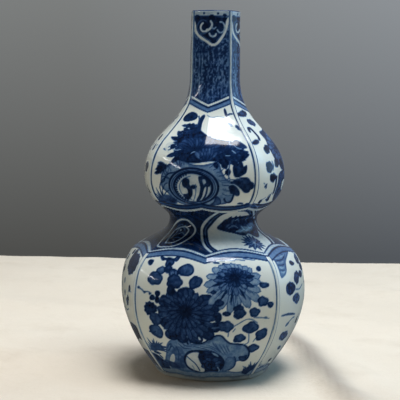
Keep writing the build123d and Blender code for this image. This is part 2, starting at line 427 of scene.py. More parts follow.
def petal_ring(panel, x, z, count, inner, outer, width, tone, edge, start, streak, seed,
               squash=1.0, sweep=360, reach=None, blunt=0.55, edge_width=0.6):
    """Petals round a place; reach gives a longer or shorter petal for an angle in degrees."""
    rng = random.Random(seed)
    t = np.linspace(0, 1, 11)
    for step in range(count):
        lean = start + sweep * (step + rng.uniform(-0.15, 0.15)) / count
        far = outer * (reach(lean) if reach else 1) * rng.uniform(0.92, 1.06)
        half = width / 2 * rng.uniform(0.88, 1.12) * np.sin(np.pi * np.clip(t**1.35, 0.02, 1)) ** blunt
        u = inner + (far - inner) * np.concatenate([t, t[::-1]])
        v = np.concatenate([half, -half[::-1]])
        u, v = spun(u, v, lean)
        panel.fill(around(x, z, u, v * squash), tone * rng.uniform(0.93, 1.05), edge, edge_width, 0.25)
        if streak is not None:
            for side in (0, rng.choice((-8, 8)) / max(far / 12, 1)):
                tip = inner + (far - inner) * rng.uniform(0.4, 0.75)
                u, v = spun(np.linspace(inner, tip, 5), 0, lean + side)
                panel.stroke(around(x, z, u, v * squash), np.linspace(0.42, 0.1, 5), streak, 0.25)


def flower(panel, x, z, ground, rings, heart, squash=1.0):
    """A large flower: its dark ground, rings of petals that each start with a lift, and a scalloped heart."""
    round_leaf(panel, x, z, *ground)
    for lift, *petals in rings:
        petal_ring(panel, x, z + lift, *petals, squash)
    lift, wide, high, tone, lobes = heart
    round_leaf(panel, x, z + lift, wide, high, 0, tone, None, lobes, 0, 0.2)


def several(panel, draw, *rows):
    """Draws each row of values in the same way."""
    for row in rows:
        draw(panel, *row)


def tuft(panel, x, z, count, length, width=1.1, low=30, high=150, tone=0.8, seed=3):
    """A tuft of pointed blades from one place."""
    rng = random.Random(seed)
    for step in range(count):
        lean = low + (high - low) * step / max(count - 1, 1) + rng.uniform(-4, 4)
        t = np.linspace(0, 1, 6)
        far = length * rng.uniform(0.75, 1.1)
        u, v = spun(t * far, 0.08 * far * np.sin(np.pi * t), lean)
        panel.stroke(around(x, z, u, v), width / 2 * (1 - t) ** 0.7 + 0.1, tone)


def scroll(panel, x, z, radius, turns=1.4, start=0.0, width=0.9, tone=0.85, way=1, squash=1.0):
    """A coiled brush line that opens out from its middle."""
    t = np.linspace(0, 1, int(18 * turns) + 4)
    a = math.radians(start) + way * TURN * turns * t
    r = radius * t**0.8
    panel.stroke(around(x, z, r * np.cos(a), r * np.sin(a) * squash), np.full(len(t), width / 2), tone)


def ring(panel, x, z, rx, rz, width, tone, start=0, end=360):
    """A drawn oval, or part of one."""
    a = np.radians(np.linspace(start, end, 61))
    panel.stroke(around(x, z, rx * np.cos(a), rz * np.sin(a)), np.full(61, width / 2), tone)


def hatch(panel, rows, width=0.5, tone=0.7):
    """Short shading lines, each thinner at its far end."""
    for points in rows:
        line(panel, points, width, tone, (0.6, 0.3))


def band(panel, low, high, tone, soft=0.3, left=-FACE, right=FACE):
    """Cobalt between two heights, each a function of the angle."""
    lower, upper = run(low(panel.away)), run(high(panel.away))
    edge = [(-soft, 0), (soft, 1)]
    cover = eased(panel.up - lower, edge) * (1 - eased(panel.up - upper, edge))
    side = 0.4 / panel.girth
    cover = cover * ((panel.away > left - side) & (panel.away < right + side))
    chosen = np.nonzero(cover > 0)[0]
    panel.ground.lay(panel.chosen[chosen], cover[chosen], tone)


def arch_line(lift):
    """The shoulder's moulded edge, lifted."""
    return lambda away: arch_height(away) + lift


def rib_lines(ground, low, high, strength):
    """The white ribs, each between two thin lines; narrower and bluer up the neck."""
    chosen = np.nonzero((ground.z > low) & (ground.z < high))[0]
    z = ground.z[chosen]
    neck = eased(z, [(184, 0), (200, 1)])
    off = from_rib(ground.angle[chosen], z)
    off = off + waves(ground.up[chosen], np.sin(ground.angle[chosen] * 2) * 30, 9, 22) * 0.15 + neck * 0.55
    ground.lay(chosen, 1 - eased(off, [(1.5, 0), (2.1, 1)]), 0.03 + 0.05 * neck)
    upper = eased(z, [(100, 0), (120, 1)])
    thin = 1 - eased(np.abs(off - 1.5) - 0.12 * upper, [(0.04, 0), (0.4, 1)])
    ground.lay(chosen, thin * strength * (1 - 0.5 * neck), 0.96)


# Places where leaves may be scattered: across, low, high, least and most size
LOWER_SPOTS = (-43, 43, 10, 83, 4.2, 9.5)
UPPER_SPOTS = (-30, 30, 122, 178, 3.4, 8.0)
SCATTER_TRIES = 420


def rock_marks(panel, x, z, way):
    """Hole, curls and shading lines of a garden rock."""
    area(panel, [(x - 11, z), (x - 8, z + 6), (x, z + 8.4), (x + 8, z + 6), (x + 11, z), (x + 7, z - 7),
        (x - 7, z - 7)], 0.92, 0.95)
    area(panel, [(x - 9.4 * way, z), (x - 6.5 * way, z + 5), (x - 1 * way, z + 6.4), (x - 2 * way, z),
        (x - 1 * way, z - 6), (x - 7 * way, z - 5)], 0.06)
    petal_ring(panel, x + 4 * way, z, 7, 0.6, 5.6, 3.4, 0.74, 0.97, 10, None, 41)
    for step in range(5):
        a = x + (13 + 1.6 * step) * way
        line(panel, [(a - 4 * way, z + 9 - step), (a - 1.5 * way, z + 5 - step), (a, z - step)], 0.6, 0.72, (0.6, 0.3))
    several(panel, scroll, (x - 16 * way, z + 4, 3.6, 1.3, 80, 0.9, 0.9, way),
        (x + 20 * way, z + 1, 3.4, 1.2, 0, 0.9, 0.9, -way))


def scatter(panel, seed, spots, taken):
    """Leaves of several kinds strewn over what is still bare, with short stems between them."""
    rng = random.Random(seed)
    left, right, low, high, least, most = spots
    taken = list(taken)
    for _ in range(SCATTER_TRIES):
        z = rng.uniform(low, high)
        reach = float(girth(z)) * (FACE - 0.07)
        x = rng.uniform(max(left, -reach), min(right, reach))
        size = rng.uniform(least, most)
        kind, lean, shade = rng.randrange(5), rng.uniform(0, 360), 0.88 + rng.uniform(-0.1, 0.1)
        if abs(x) + size / 2 > reach - 2.5:
            continue
        if any(math.hypot(x - a, z - b) < size / 2 + r + 1.1 for a, b, r in taken):
            continue
        taken.append((x, z, size / 2))
        if kind == 0:
            round_leaf(panel, x, z, size, size * 0.85, lean, shade, 0.97, 5, 0, 0.12)
        elif kind == 1:
            round_leaf(panel, x, z, size, size * 0.75, lean, shade, 0.96, 9, 0, -0.18)
        elif kind == 2:
            round_leaf(panel, x, z, size * 0.9, size * 0.8, lean, shade - 0.1, 0.96, 0, 0.2)
        elif kind == 3:
            u, v = spun(size / 2, 0, lean)
            long_leaf(panel, x - u, z - v, size, size * 0.55, lean, shade, vein=0.4)
        else:
            for off in (90, 210, 330):
                u, v = spun(size * 0.27, 0, lean + off)
                round_leaf(panel, x + u, z + v, size * 0.5, size * 0.44, lean + off, shade + 0.05)
        u, v = spun(size * 0.5 + 2.2, 0, lean + rng.uniform(60, 300))
        line(panel, [(x, z), (x + u * 0.6, z + v * 0.75), (x + u, z + v)], 0.6, 0.6)


# Lower gourd

def lower_frame(panel):
    """Borders at the shoulder and above the foot, the same on every panel."""
    band(panel, arch_line(-4.3), arch_line(-0.4), 0.93)
    band(panel, arch_line(-3.6), arch_line(-1.3), 0.5, 0.35)
    band(panel, arch_line(-0.3), arch_line(0.6), 0.12, 0.25)

    def wavy(height):
        return lambda away: height + 0.6 * np.sin(away * 9) + 0.3 * np.sin(away * 23)
    band(panel, wavy(2.4), wavy(7.8), 0.3, 0.8)
    band(panel, wavy(7.2), wavy(8.0), 0.6, 0.35)
    band(panel, wavy(3.3), wavy(4.1), 0.5, 0.35)


def lower_front(panel):
    """A pierced rock below two chrysanthemums, with leaves and buds round them."""
    # Rock
    area(panel, [(-28, 20), (-27, 27), (-24, 31), (-20, 33), (-15, 34), (-11, 33), (-8, 30), (0, 31), (5, 34),
        (9, 36.5), (13, 36), (16, 32), (20, 30), (27, 29.5), (30.5, 26), (31, 21), (28.5, 16.5), (22, 16), (18, 10),
        (8, 7.5), (-6, 7.5), (-20, 8), (-29, 11)], 0.44, 0.62, edge_width=1.2)
    area(panel, [(-26, 11), (-18, 9), (-12, 12), (-14, 22), (-18, 27), (-24, 22)], 0.62, 0.62, soft=0.8)
    area(panel, [(12, 8), (20, 12), (21, 18), (16, 20), (13, 14)], 0.5, 0.7, soft=0.6)
    hatch(panel, [[(8, 30), (10, 26), (13, 22)], [(10.5, 30), (12.5, 26), (14.5, 22)],
        [(13, 29.5), (14.5, 26), (16, 23)], [(6, 31.5), (8, 28), (11, 24)], [(15.5, 29), (16.5, 26), (17.5, 24)],
        [(1, 30), (5, 28.5), (9, 26)], [(-2, 28.5), (4, 27.5), (9, 24.5)], [(-7, 28), (0, 26.8), (7, 24.6)]],
        0.55, 0.78)
    hatch(panel, [[(-27, 24), (-24.5, 28), (-22, 26)], [(-26, 22), (-23, 26.5), (-21, 24)],
        [(-23.5, 28.5), (-24.5, 24.5), (-26, 23)], [(-16, 31), (-13, 28), (-8, 28)], [(-18, 29), (-14, 26), (-9, 26)],
        [(-20, 27), (-18, 22), (-19, 15)]], 0.7, 0.8)
    line(panel, [(-20, 32.5), (-16, 33.6), (-12.5, 32), (-11, 29.5)], 1.3, 0.95)
    area(panel, [(-18.5, 33), (-15, 34.6), (-12, 33.6), (-12.6, 31.6), (-15.5, 32.8)], 0.08)
    line(panel, [(-9, 31), (-4, 30.4), (0, 31.4), (4, 34), (8, 36.3), (12, 36.2), (15, 33), (18, 30.6), (23,
        29.8)], 1.1, 0.95)
    line(panel, [(23, 29.8), (28, 28.6), (31, 24.5), (30.5, 19.5), (28, 16.4), (25, 17), (24, 19.5)], 1.2, 0.95)
    area(panel, [(24, 20), (24.4, 17), (27, 16.4), (29, 18), (29.5, 21), (27, 20.4)], 0.82, 0.9)
    area(panel, [(-25.5, 14), (-22.5, 13.4), (-21.2, 17), (-22, 20.4), (-24.4, 18.6)], 0.08)
    area(panel, [(-30, 14), (-25, 9.5), (-18, 9), (-20, 12.4), (-26, 14.2)], 0.75, 0.8, soft=0.6)
    # Hole through the rock, with a flower in it
    area(panel, [(-14.6, 16), (-13.5, 21), (-9.5, 24.6), (-3, 25.6), (4, 25.2), (10, 22.4), (13.6, 17), (12, 11),
        (7, 7.6), (0, 7), (-7, 7.6), (-12.5, 10.5)], 0.94, 0.95)
    area(panel, [(-13.2, 16), (-11.8, 20.6), (-8, 23.2), (-3.6, 23.6), (-4.2, 20), (-2.6, 15), (-0.4, 11), (-1, 8),
        (-6, 8.6), (-11.4, 11.4)], 0.06, 0.1)
    line(panel, [(-12, 19.6), (-9.4, 17.2), (-6.8, 14.8), (-5, 12), (-3.6, 9)], 0.8, 0.85)
    line(panel, [(-8.6, 12.4), (-7.6, 10.4), (-7.8, 8.8)], 0.7, 0.35)
    petal_ring(panel, 4.6, 14.6, 8, 1, 7.6, 4.2, 0.78, 0.97, 20, None, 4)
    scroll(panel, 4, 14, 4.6, 1.6, 40, 0.8, 0.99)
    area(panel, [(5, 24), (8.5, 22.6), (9.6, 20.4), (7, 21.6)], 0.35)
    line(panel, [(8.6, 12), (9.6, 9.6), (9, 8.4)], 0.9, 0.3)
    line(panel, [(16, 9), (20, 12), (21.4, 17), (20.6, 20)], 0.8, 0.85)
    # Grass
    tuft(panel, -34.5, 22.4, 15, 9.4, 1.9, -18, 196, 0.72, 5)
    round_leaf(panel, -34.2, 24.4, 11, 6.6, 0, 0.74, 0.74, 11, 0, -0.2)
    long_leaf(panel, -38, 19.8, 6, 2.4, -8, 0.85)
    line(panel, [(-36, 16.6), (-34, 14.4), (-32.6, 12.6)], 1.6, 0.85, (0.4, 0.4))
    line(panel, [(-33.6, 18), (-30.8, 15.4)], 1.2, 0.8, (0.4, 0.4))
    tuft(panel, 34, 8, 9, 9.6, 1.7, 28, 152, 0.82, 7)
    round_leaf(panel, 33.6, 10.2, 9, 4.6, 0, 0.78, None, 9, 0, -0.2)
    line(panel, [(35.6, 8), (37.6, 13), (40, 17.6)], 1.4, 0.8, (1, 0.2))
    # Dark chrysanthemum
    for x, z, w, h in ((-23, 35, 9, 9), (-15, 33, 9, 7), (-5.5, 33.8, 10, 8), (3, 37, 9, 8), (-27, 43, 9, 8),
            (7.6, 42.4, 8, 8), (9.6, 49.4, 6, 7), (-30, 51, 5, 8), (8, 56, 7, 7), (-27.4, 58.6, 8, 7), (2, 62, 9, 6),
            (-12, 65.6, 12, 6)):
        round_leaf(panel, x, z, w, h, 0, 0.88, 0.97)

    def spread(lean):
        return float(1 + 0.1 * math.cos(math.radians(lean + 80)))
    round_leaf(panel, -12.6, 51, 34, 28, 0, 0.93)
    petal_ring(panel, -12.6, 51.4, 25, 5, 20.6, 5.2, 0.78, 0.97, 4, 0.95, 11, 0.9, reach=spread, blunt=0.45)
    petal_ring(panel, -12.6, 52.4, 19, 2, 13.6, 3.6, 0.76, 0.97, 0, 0.98, 12, 0.9, reach=spread)
    round_leaf(panel, -12.4, 53.6, 7, 7, 0, 0.97, None, 9, 0, 0.2)
    area(panel, [(-3.4, 35.6), (-2.2, 34.8), (-1.8, 33.2), (-3.2, 33.6)], 0.12)
    # Lighter chrysanthemum

    def fall(lean):
        below = eased(abs(wrapped(math.radians(lean + 97))), [(0.5, 1.0), (1.9, 0.76), (2.6, 0.52)])
        aside = eased(abs(wrapped(math.radians(lean - 186))), [(0.15, 0.93), (0.55, 0.5)])
        return float(max(below, aside))
    petal_ring(panel, 20.6, 74, 20, 3, 24, 5.6, 0.37, 0.84, 8, 0.86, 21, 0.94, reach=fall, blunt=0.4, edge_width=0.45)
    petal_ring(panel, 20.6, 74.6, 11, 2, 16, 4.4, 0.62, 0.95, -30, 0.95, 22, 0.92, sweep=236, reach=fall)
    petal_ring(panel, 20.6, 74.6, 9, 2, 12.6, 3.4, 0.44, 0.88, 208, 0.9, 24, 0.94, sweep=124, reach=fall)
    petal_ring(panel, 21, 75, 13, 1, 8.4, 2.6, 0.78, 0.97, 12, 0.99, 23, 0.84)
    round_leaf(panel, 21.2, 75.6, 7, 4.4, 0, 0.98, None, 9, 0, 0.25)
    for lean, near, far, wide in ((196, 8, 8, 1.8), (236, 8, 9, 1.6), (262, 7, 10, 1.4), (300, 7.4, 9, 1.6),
            (338, 8, 7, 2.6), (8, 8, 6, 2.8), (172, 8, 5, 2.6)):
        u, v = spun(near, 0, lean)
        long_leaf(panel, 20.6 + u, 74 + v * 0.92, far, wide, lean, 0.86, 0.94)
    for x, z, w, h in ((10.6, 59, 7, 5), (15.6, 51.6, 6, 3.4), (24, 55, 8, 5), (6.6, 66, 4, 3)):
        round_leaf(panel, x, z, w, h, 0, 0.85, 0.95, 4)
    round_leaf(panel, 24.5, 51.4, 9.5, 7.2, 0, 0.85, 0.95, 7, 0.2)
    # Leaves and buds
    round_leaf(panel, -39.5, 82, 3.8, 4.4, 30, 0.95, point=0.3)
    area(panel, [(-32.4, 85.4), (-30.6, 83.6), (-28, 84), (-26.6, 81.6), (-23.6, 81.6), (-22, 83.8), (-19.4, 84),
        (-17.4, 86.8), (-19.6, 87.2), (-22, 85.6), (-25.6, 86), (-28.6, 85.4), (-31.6, 86.8)], 0.88, 0.97)
    round_leaf(panel, -25, 82.6, 6.4, 6.6, 0, 0.8, 0.96)
    line(panel, [(-25, 82), (-24.6, 78), (-22, 74), (-22.6, 66)], 2.6, 0.94)
    several(panel, round_leaf, (-31, 77.6, 8.4, 6, 20, 0.7, 0.95, 5, 0.2), (-25.6, 79, 6.6, 6, 0, 0.86, 0.96, 4),
        (-21.6, 76.6, 7.6, 6.4, 0, 0.78, 0.97))
    scroll(panel, -21.8, 76.6, 2.2, 1.1, 0, 0.7, 0.45)
    several(panel, round_leaf, (-20.6, 71.4, 13, 9.6, 0, 0.84, 0.97, 7, 0.12), (-23, 65.6, 6, 8, 0, 0.96),
        (-35.2, 72.4, 11, 10, 12, 0.84, 0.97, 6, 0.2, 0.1), (-12.5, 79.2, 11.6, 8.6, 0, 0.84, 0.98, 0, 0.25),
        (-5.6, 72, 10, 8.4, 25, 0.84, 0.97, 5, 0.15, 0.12))
    line(panel, [(-48, 65.4), (-45, 64), (-43, 62.6), (-40.6, 63.2), (-38, 62.2)], 0.8, 0.75)
    for x, z, s in ((-47.6, 65.2, 1.8), (-43, 62.6, 1.7), (-39, 62, 1.6)):
        round_leaf(panel, x, z, s, s, 0, 0.85)
    several(panel, round_leaf, (-33, 62.6, 4.4, 3.8, 0, 0.97), (-37, 59.6, 4, 4, 0, 0.97),
        (-33.2, 58.6, 4, 4.6, 0, 0.97))
    line(panel, [(-31, 60), (-29.4, 59), (-28.4, 60)], 0.8, 0.7)
    several(panel, round_leaf, (-38.4, 52, 11.4, 10, 5, 0.88, 0.96, 10, 0, -0.16),
        (-34.6, 45.4, 9.6, 9.4, 0, 0.74, 0.92, 6, 0.15), (-34.2, 36.4, 10.8, 10.4, 0, 0.78, 0.96, 5, 0.2, 0.08))
    line(panel, [(-39.5, 35.4), (-37, 35), (-35, 36)], 1.0, 0.85)
    line(panel, [(-34.6, 41), (-34.8, 49)], 1.2, 0.8)
    for x, z, w, h, lean, lobes in ((37, 80, 3.4, 3.4, 0, 0), (41, 69.6, 7.4, 4, 0, 3), (40.6, 59, 7.6, 7.4, 20, 5),
            (45.8, 56.6, 3.8, 4.4, 0, 0), (35, 52, 7.8, 6.6, 15, 5), (16, 51.4, 4.4, 3, 0, 3),
            (15, 42.8, 11.6, 8.8, 0, 5), (32.4, 41.4, 11, 9.4, 0, 4), (24.4, 34, 9.4, 6.8, 0, 5),
            (39.6, 36, 7.8, 10.6, -25, 4), (34, 26, 8, 7.6, 0, 4)):
        round_leaf(panel, x, z, w, h, lean, 0.84, 0.97, lobes, 0.28, 0.16)
    for points in ([(6, 42), (10.5, 42.4)], [(20, 42.4), (24, 44.6), (29, 47.2), (33, 47.2), (37, 44.6)],
            [(34.6, 48.4), (40, 48), (45, 47.2)], [(31, 37.6), (31, 33.6), (30.4, 30.4), (26.8, 28.8)],
            [(17, 38.8), (16.6, 35.6)], [(20, 39), (21.6, 41)], [(34, 31), (35.6, 33.4)]):
        line(panel, points, 0.7, 0.55)
    several(panel, round_leaf, (42.6, 48, 3, 1.2, 0, 0.6), (7.6, 84.2, 4.2, 1.5, -8, 0.85),
        (12.6, 83.6, 2, 1.4, 0, 0.85))
    for x in (9, 16, 23, 30):
        line(panel, [(x - 4, 86.2), (x, 85.7), (x + 4, 85.2)], 0.8, 0.6)


def lower_right(panel):
    """A branch and leaves to the left, and a chrysanthemum over a rock."""
    area(panel, [(-39, 88), (-26, 87), (-16, 87.4), (-13, 86), (-19, 84.4), (-27, 82), (-31, 79), (-34, 75.6),
        (-39, 73.4), (-44, 73), (-43.4, 78), (-41.6, 83)], 0.56, 0.84, soft=0.5)
    hatch(panel, [[(-39, 85), (-34, 84.8), (-29, 85), (-23, 85.4)], [(-40, 82.4), (-36, 81.8), (-31, 82)],
        [(-41, 79.4), (-38, 78.6), (-34, 78.6)], [(-42, 76.4), (-39, 75.6), (-36, 75.8)]], 1.1, 0.3)
    hatch(panel, [[(-40, 83.6), (-34, 83.2), (-29, 83.6), (-21, 85.6)], [(-41, 80.8), (-36, 80.2), (-32, 80.2)],
        [(-42, 78), (-39, 77.2), (-35.6, 77)]], 0.9, 0.9)
    long_leaf(panel, -24, 80, 9, 3.6, -10, 0.93)
    several(panel, round_leaf, (-19.5, 69.4, 13, 8.6, 8, 0.8, 0.92, 6), (-9.6, 70.4, 8, 5, 0, 0.93),
        (-4, 74.6, 6, 6, 0, 0.9), (-6, 80, 8, 8, 0, 0.9, None, 5))
    line(panel, [(-24, 62), (-16, 61), (-8, 63)], 0.8, 0.6)
    several(panel, round_leaf, (-33, 64, 18, 8.6, -4, 0.84, 0.97, 7, 0, 0.08), (-22, 55.4, 16, 7.6, -8, 0.7, 0.82, 6))
    line(panel, [(-45, 47.4), (-36, 46.8), (-28, 45.6), (-20, 44)], 1.6, 0.7, (0.5, 0.3))
    line(panel, [(-33, 39), (-29, 40.4), (-24, 42), (-20, 42)], 1.0, 0.6)
    several(panel, round_leaf, (-31, 39, 6, 2.6, 10, 0.55), (-27, 30, 19, 7.6, -12, 0.66, 0.84, 7),
        (-22, 20.6, 8, 3.4, -18, 0.5))
    several(panel, tuft, (-40, 5.6, 9, 9, 2.2, 40, 150, 0.85, 17), (-28, 6, 6, 6, 1.8, 60, 150, 0.7, 18))
    flower(panel, 17, 60, (30, 28, 0, 0.93), [(0, 22, 4, 19, 5.4, 0.8, 0.97, 4, 0.97, 31),
        (0, 15, 2, 12, 3.8, 0.8, 0.98, 0, 0.99, 32)], (1, 9, 9, 0.99, 9))
    area(panel, [(-8, 8), (-7, 20), (-2, 28), (6, 31), (14, 34), (22, 31), (30, 32), (38, 25), (37, 15), (32, 8),
        (12, 7)], 0.36, 0.55, edge_width=1.2)
    rock_marks(panel, 14, 18, 1)
    scatter(panel, 301, LOWER_SPOTS, [(-28, 60, 24), (-28, 30, 14), (17, 60, 22), (14, 20, 26), (-40, 82, 14)])


def lower_back(panel):
    """A dark and a pale chrysanthemum over a rock."""
    area(panel, [(-34, 9), (-36, 20), (-30, 28), (-22, 30), (-16, 36), (-8, 33), (2, 31), (9, 27), (13, 19), (10, 9),
        (-10, 7)], 0.36, 0.52, edge_width=1.2)
    rock_marks(panel, -12, 18, -1)
    tuft(panel, 24, 8, 10, 10, 1.9, 25, 155, 0.8, 51)
    flower(panel, 13, 49, (32, 30, 0, 0.93), [(0, 24, 5, 20, 5.4, 0.79, 0.97, 4, 0.95, 52),
        (0, 17, 2, 13, 3.8, 0.78, 0.98, 0, 0.98, 53)], (0, 7, 7, 0.97, 9))
    petal_ring(panel, -21, 68, 16, 3, 17, 5.8, 0.3, 0.82, 0, 0.82, 55)
    petal_ring(panel, -21, 68, 12, 2, 10.5, 4.2, 0.5, 0.95, 10, 0.97, 56)
    round_leaf(panel, -21, 68, 6, 6, 0, 0.98, None, 7, 0, 0.25)
    scatter(panel, 302, LOWER_SPOTS,
        [(13, 49, 21), (-21, 68, 18), (-12, 19, 22), (-28, 20, 11), (6, 20, 12), (24, 10, 9)])


def lower_left(panel):
    """A chrysanthemum over a rock, and part of a flower at the top right."""
    petal_ring(panel, 33, 81, 9, 2, 12, 6, 0.9, 0.97, 150, 0.98, 61, sweep=200)
    several(panel, round_leaf, (35, 80, 20, 12, 0, 0.93, 0.97, 9), (18, 84, 6, 4, 0, 0.9))
    area(panel, [(14, 27), (20, 33), (28, 36), (38, 37), (45, 36), (45, 28), (36, 27), (26, 24)], 0.9, 0.96, soft=0.5)
    area(panel, [(12, 8), (20, 16), (32, 18.5), (46, 18), (46, 8), (30, 7)], 0.8, 0.9, soft=0.6)
    several(panel, round_leaf, (25, 65, 5, 4, 0, 0.4), (28, 57, 5, 4, 20, 0.45), (35, 52, 7, 6, 20, 0.7, 0.8, 5))
    line(panel, [(20, 46), (28, 45), (36, 47)], 0.8, 0.6)
    flower(panel, -14, 56, (32, 30, 0, 0.93), [(0, 22, 4, 20, 5.6, 0.8, 0.97, 4, 0.96, 62),
        (0, 15, 2, 12.6, 3.8, 0.78, 0.98, 0, 0.98, 63)], (1, 9, 9, 0.99, 9))
    area(panel, [(-36, 9), (-35, 22), (-26, 28), (-16, 27), (-8, 31), (0, 28), (6, 20), (6, 9), (-14, 7)], 0.36, 0.52,
        edge_width=1.2)
    rock_marks(panel, -16, 17, 1)
    scatter(panel, 303, LOWER_SPOTS, [(-14, 56, 22), (-16, 18, 22), (0, 18, 14), (33, 80, 14), (32, 31, 18),
        (32, 12, 18), (26, 62, 8)])


# Upper gourd and neck

# Edges under the small gourd and at the foot of the neck: height, and how far each dips or rises
UNDER_EDGE, UNDER_DIP = 117.8, 2.2
NECK_EDGE, NECK_EDGE_RISE = 185.6, 6.4
RIM_BAND = 249.2


def low_edge(lift):
    """Edge round the underside of the small gourd: cusps up at the creases and the ribs."""
    def height(away):
        off = wrapped(away - FACE / 2, FACE)
        return UNDER_EDGE + lift - UNDER_DIP * (1 - (np.sin(off) / math.sin(FACE / 2)) ** 2)
    return height


def chevron(lift):
    """Edge at the foot of the neck: low at the creases and high at the ribs."""
    return lambda away: NECK_EDGE + lift + NECK_EDGE_RISE * np.abs(wrapped(away, 2 * FACE)) / FACE


def level(height):
    """The same height all round."""
    return lambda away: np.full_like(away, height)


def upper_frame(panel):
    """Borders under the small gourd and at the foot of the neck."""
    band(panel, low_edge(0.6), low_edge(4.2), 0.93)
    band(panel, low_edge(1.6), low_edge(2.9), 0.72, 0.35)
    band(panel, low_edge(-0.6), low_edge(0.3), 0.12, 0.25)
    band(panel, chevron(-4.6), chevron(-0.5), 0.95)
    band(panel, chevron(-3.9), chevron(-1.8), 0.5, 0.35)
    band(panel, chevron(-0.4), chevron(0.8), 0.03, 0.25)


def upper_front(panel):
    """A pierced rock under a peony, with leaves round them."""
    # Rock with its round hole
    area(panel, [(-30, 136), (-29, 141), (-26, 145), (-22, 147.4), (-17, 151), (-12, 150.4), (-6, 148), (2, 147.5),
        (9, 149), (13, 148.6), (15, 144), (18, 139), (22, 136.5), (23.6, 131), (22.4, 125), (19, 122.4), (14, 121),
        (4, 120), (-10, 120), (-18, 122), (-25, 128), (-29, 131)], 0.41, 0.8, edge_width=1.1)
    for x, z, out in ((-19, 145, 6), (-16.6, 146.4, 5.4), (-14, 147, 4.6), (-11.4, 147, 3.6), (-21.4, 143, 6),
            (-23.4, 140.4, 5.4), (-24.4, 137.4, 5), (9.6, 144.4, 5), (11.6, 142.6, 6), (13.4, 140.4, 6),
            (6.8, 145.8, 3.6), (14.6, 137.6, 6.4), (15.6, 134.6, 7), (16, 131.6, 7), (15.6, 128.6, 6)):
        away = math.degrees(math.atan2(z - 132.4, x + 5))
        u, v = spun(out, 0, away)
        line(panel, [(x, z), (x + u * 0.5 + v * 0.12, z + v * 0.5 - u * 0.12), (x + u, z + v)], 0.55, 0.8, (0.9, 0.2))
    line(panel, [(-29, 134.6), (-27, 136), (-26, 138.6), (-23, 141), (-19, 141.8), (-15, 143.2)], 0.9, 0.92)
    line(panel, [(-30, 140.6), (-28, 144), (-24, 146.6), (-21, 148), (-17, 151)], 0.8, 0.92)
    line(panel, [(-31, 130.6), (-30, 134.4), (-27.6, 137), (-24.6, 138.4), (-22.4, 137)], 0.7, 0.92)
    line(panel, [(-28.4, 130), (-26.6, 133.4), (-24.4, 134.6)], 0.6, 0.88)
    line(panel, [(-28, 125.6), (-25.4, 128.6), (-23.4, 129.4)], 0.6, 0.88)
    hatch(panel, [[(-25.6, 139.4), (-28.2, 142.6)], [(-25, 139.8), (-26, 144)], [(-24.2, 139.8), (-23.6, 144.4)],
        [(-15, 145.6), (-17.6, 149.4)], [(-14.6, 145.8), (-15.4, 150)], [(-14, 145.6), (-12.8, 149.8)]], 0.55, 0.92)
    several(panel, ring, (-5, 132.5, 17.8, 12.8, 1.5, 0.96), (-5, 132.5, 15.8, 11.3, 0.7, 0.85),
        (-5, 132.4, 13.9, 10.2, 1.7, 0.97))
    hole = [(12.4 * math.cos(a) - 5, 9.3 * math.sin(a) + 132.2) for a in np.linspace(0, TURN, 20, endpoint=False)]
    area(panel, hole, 0.1, 0.2)
    for step in range(15):
        a = math.radians(112 + 10 * step)
        round_leaf(panel, -5 + 12.2 * math.cos(a), 132.4 + 9 * math.sin(a), 1.6, 1.3, 112 + 10 * step, 0.93)
    ring(panel, -4.6, 131.8, 10, 8.2, 0.8, 0.55, 100, 260)
    area(panel, [(-12.6, 134.6), (-12, 137.6), (-9.6, 138.8), (-7, 137.6), (-6.8, 134.4), (-5, 132), (-4.8, 128.4),
        (-6.6, 125), (-9, 123.8), (-11, 125), (-12, 127.4), (-8.4, 128.4), (-8.8, 131.4), (-11.4, 132.6)], 0.93, 0.97)
    round_leaf(panel, -3.8, 133, 4.4, 2.8, 12, 0.96)
    area(panel, [(-0.6, 139.6), (2.4, 140), (5.4, 138.6), (7.6, 135.6), (6.8, 133.4), (4, 133), (2.6, 129.6),
        (1.4, 126), (-1, 123.2), (-2.6, 123.6), (-0.2, 128), (0.8, 133)], 0.9, 0.97)
    area(panel, [(2.2, 137.8), (4, 138), (4.6, 136), (3, 134.8)], 0.25)
    line(panel, [(2, 124.4), (4, 127.4), (5.2, 131), (5.4, 133.6)], 1.1, 0.92)
    line(panel, [(-4.6, 123.4), (-3.2, 126.4), (-2.4, 130), (-2.4, 134.6)], 0.6, 0.6)
    line(panel, [(22, 136.4), (23.8, 131.6), (22.6, 126.4), (20.4, 122.8), (17.4, 122.8), (16.4, 125)], 1.2, 0.95)
    line(panel, [(13, 138), (16, 136), (20, 136.6)], 0.6, 0.6)
    area(panel, [(11, 127), (14, 124.6), (13, 121), (6, 120.4), (9, 123)], 0.72, 0.9)
    tuft(panel, -26, 121.6, 9, 10.4, 1.6, 92, 172, 0.85, 71)
    area(panel, [(-33, 121), (-30, 125), (-24, 126.4), (-18, 123), (-19, 120), (-28, 119.6)], 0.76, soft=0.7)
    tuft(panel, -20, 121, 6, 5, 1.3, 50, 150, 0.88, 72)
    round_leaf(panel, -29.6, 144.4, 10, 6.4, 15, 0.95, None, 9, 0, -0.24)
    several(panel, long_leaf, (-35.4, 140.4, 8, 2.8, 18, 0.95), (-33, 147.6, 7, 2.4, -8, 0.9))
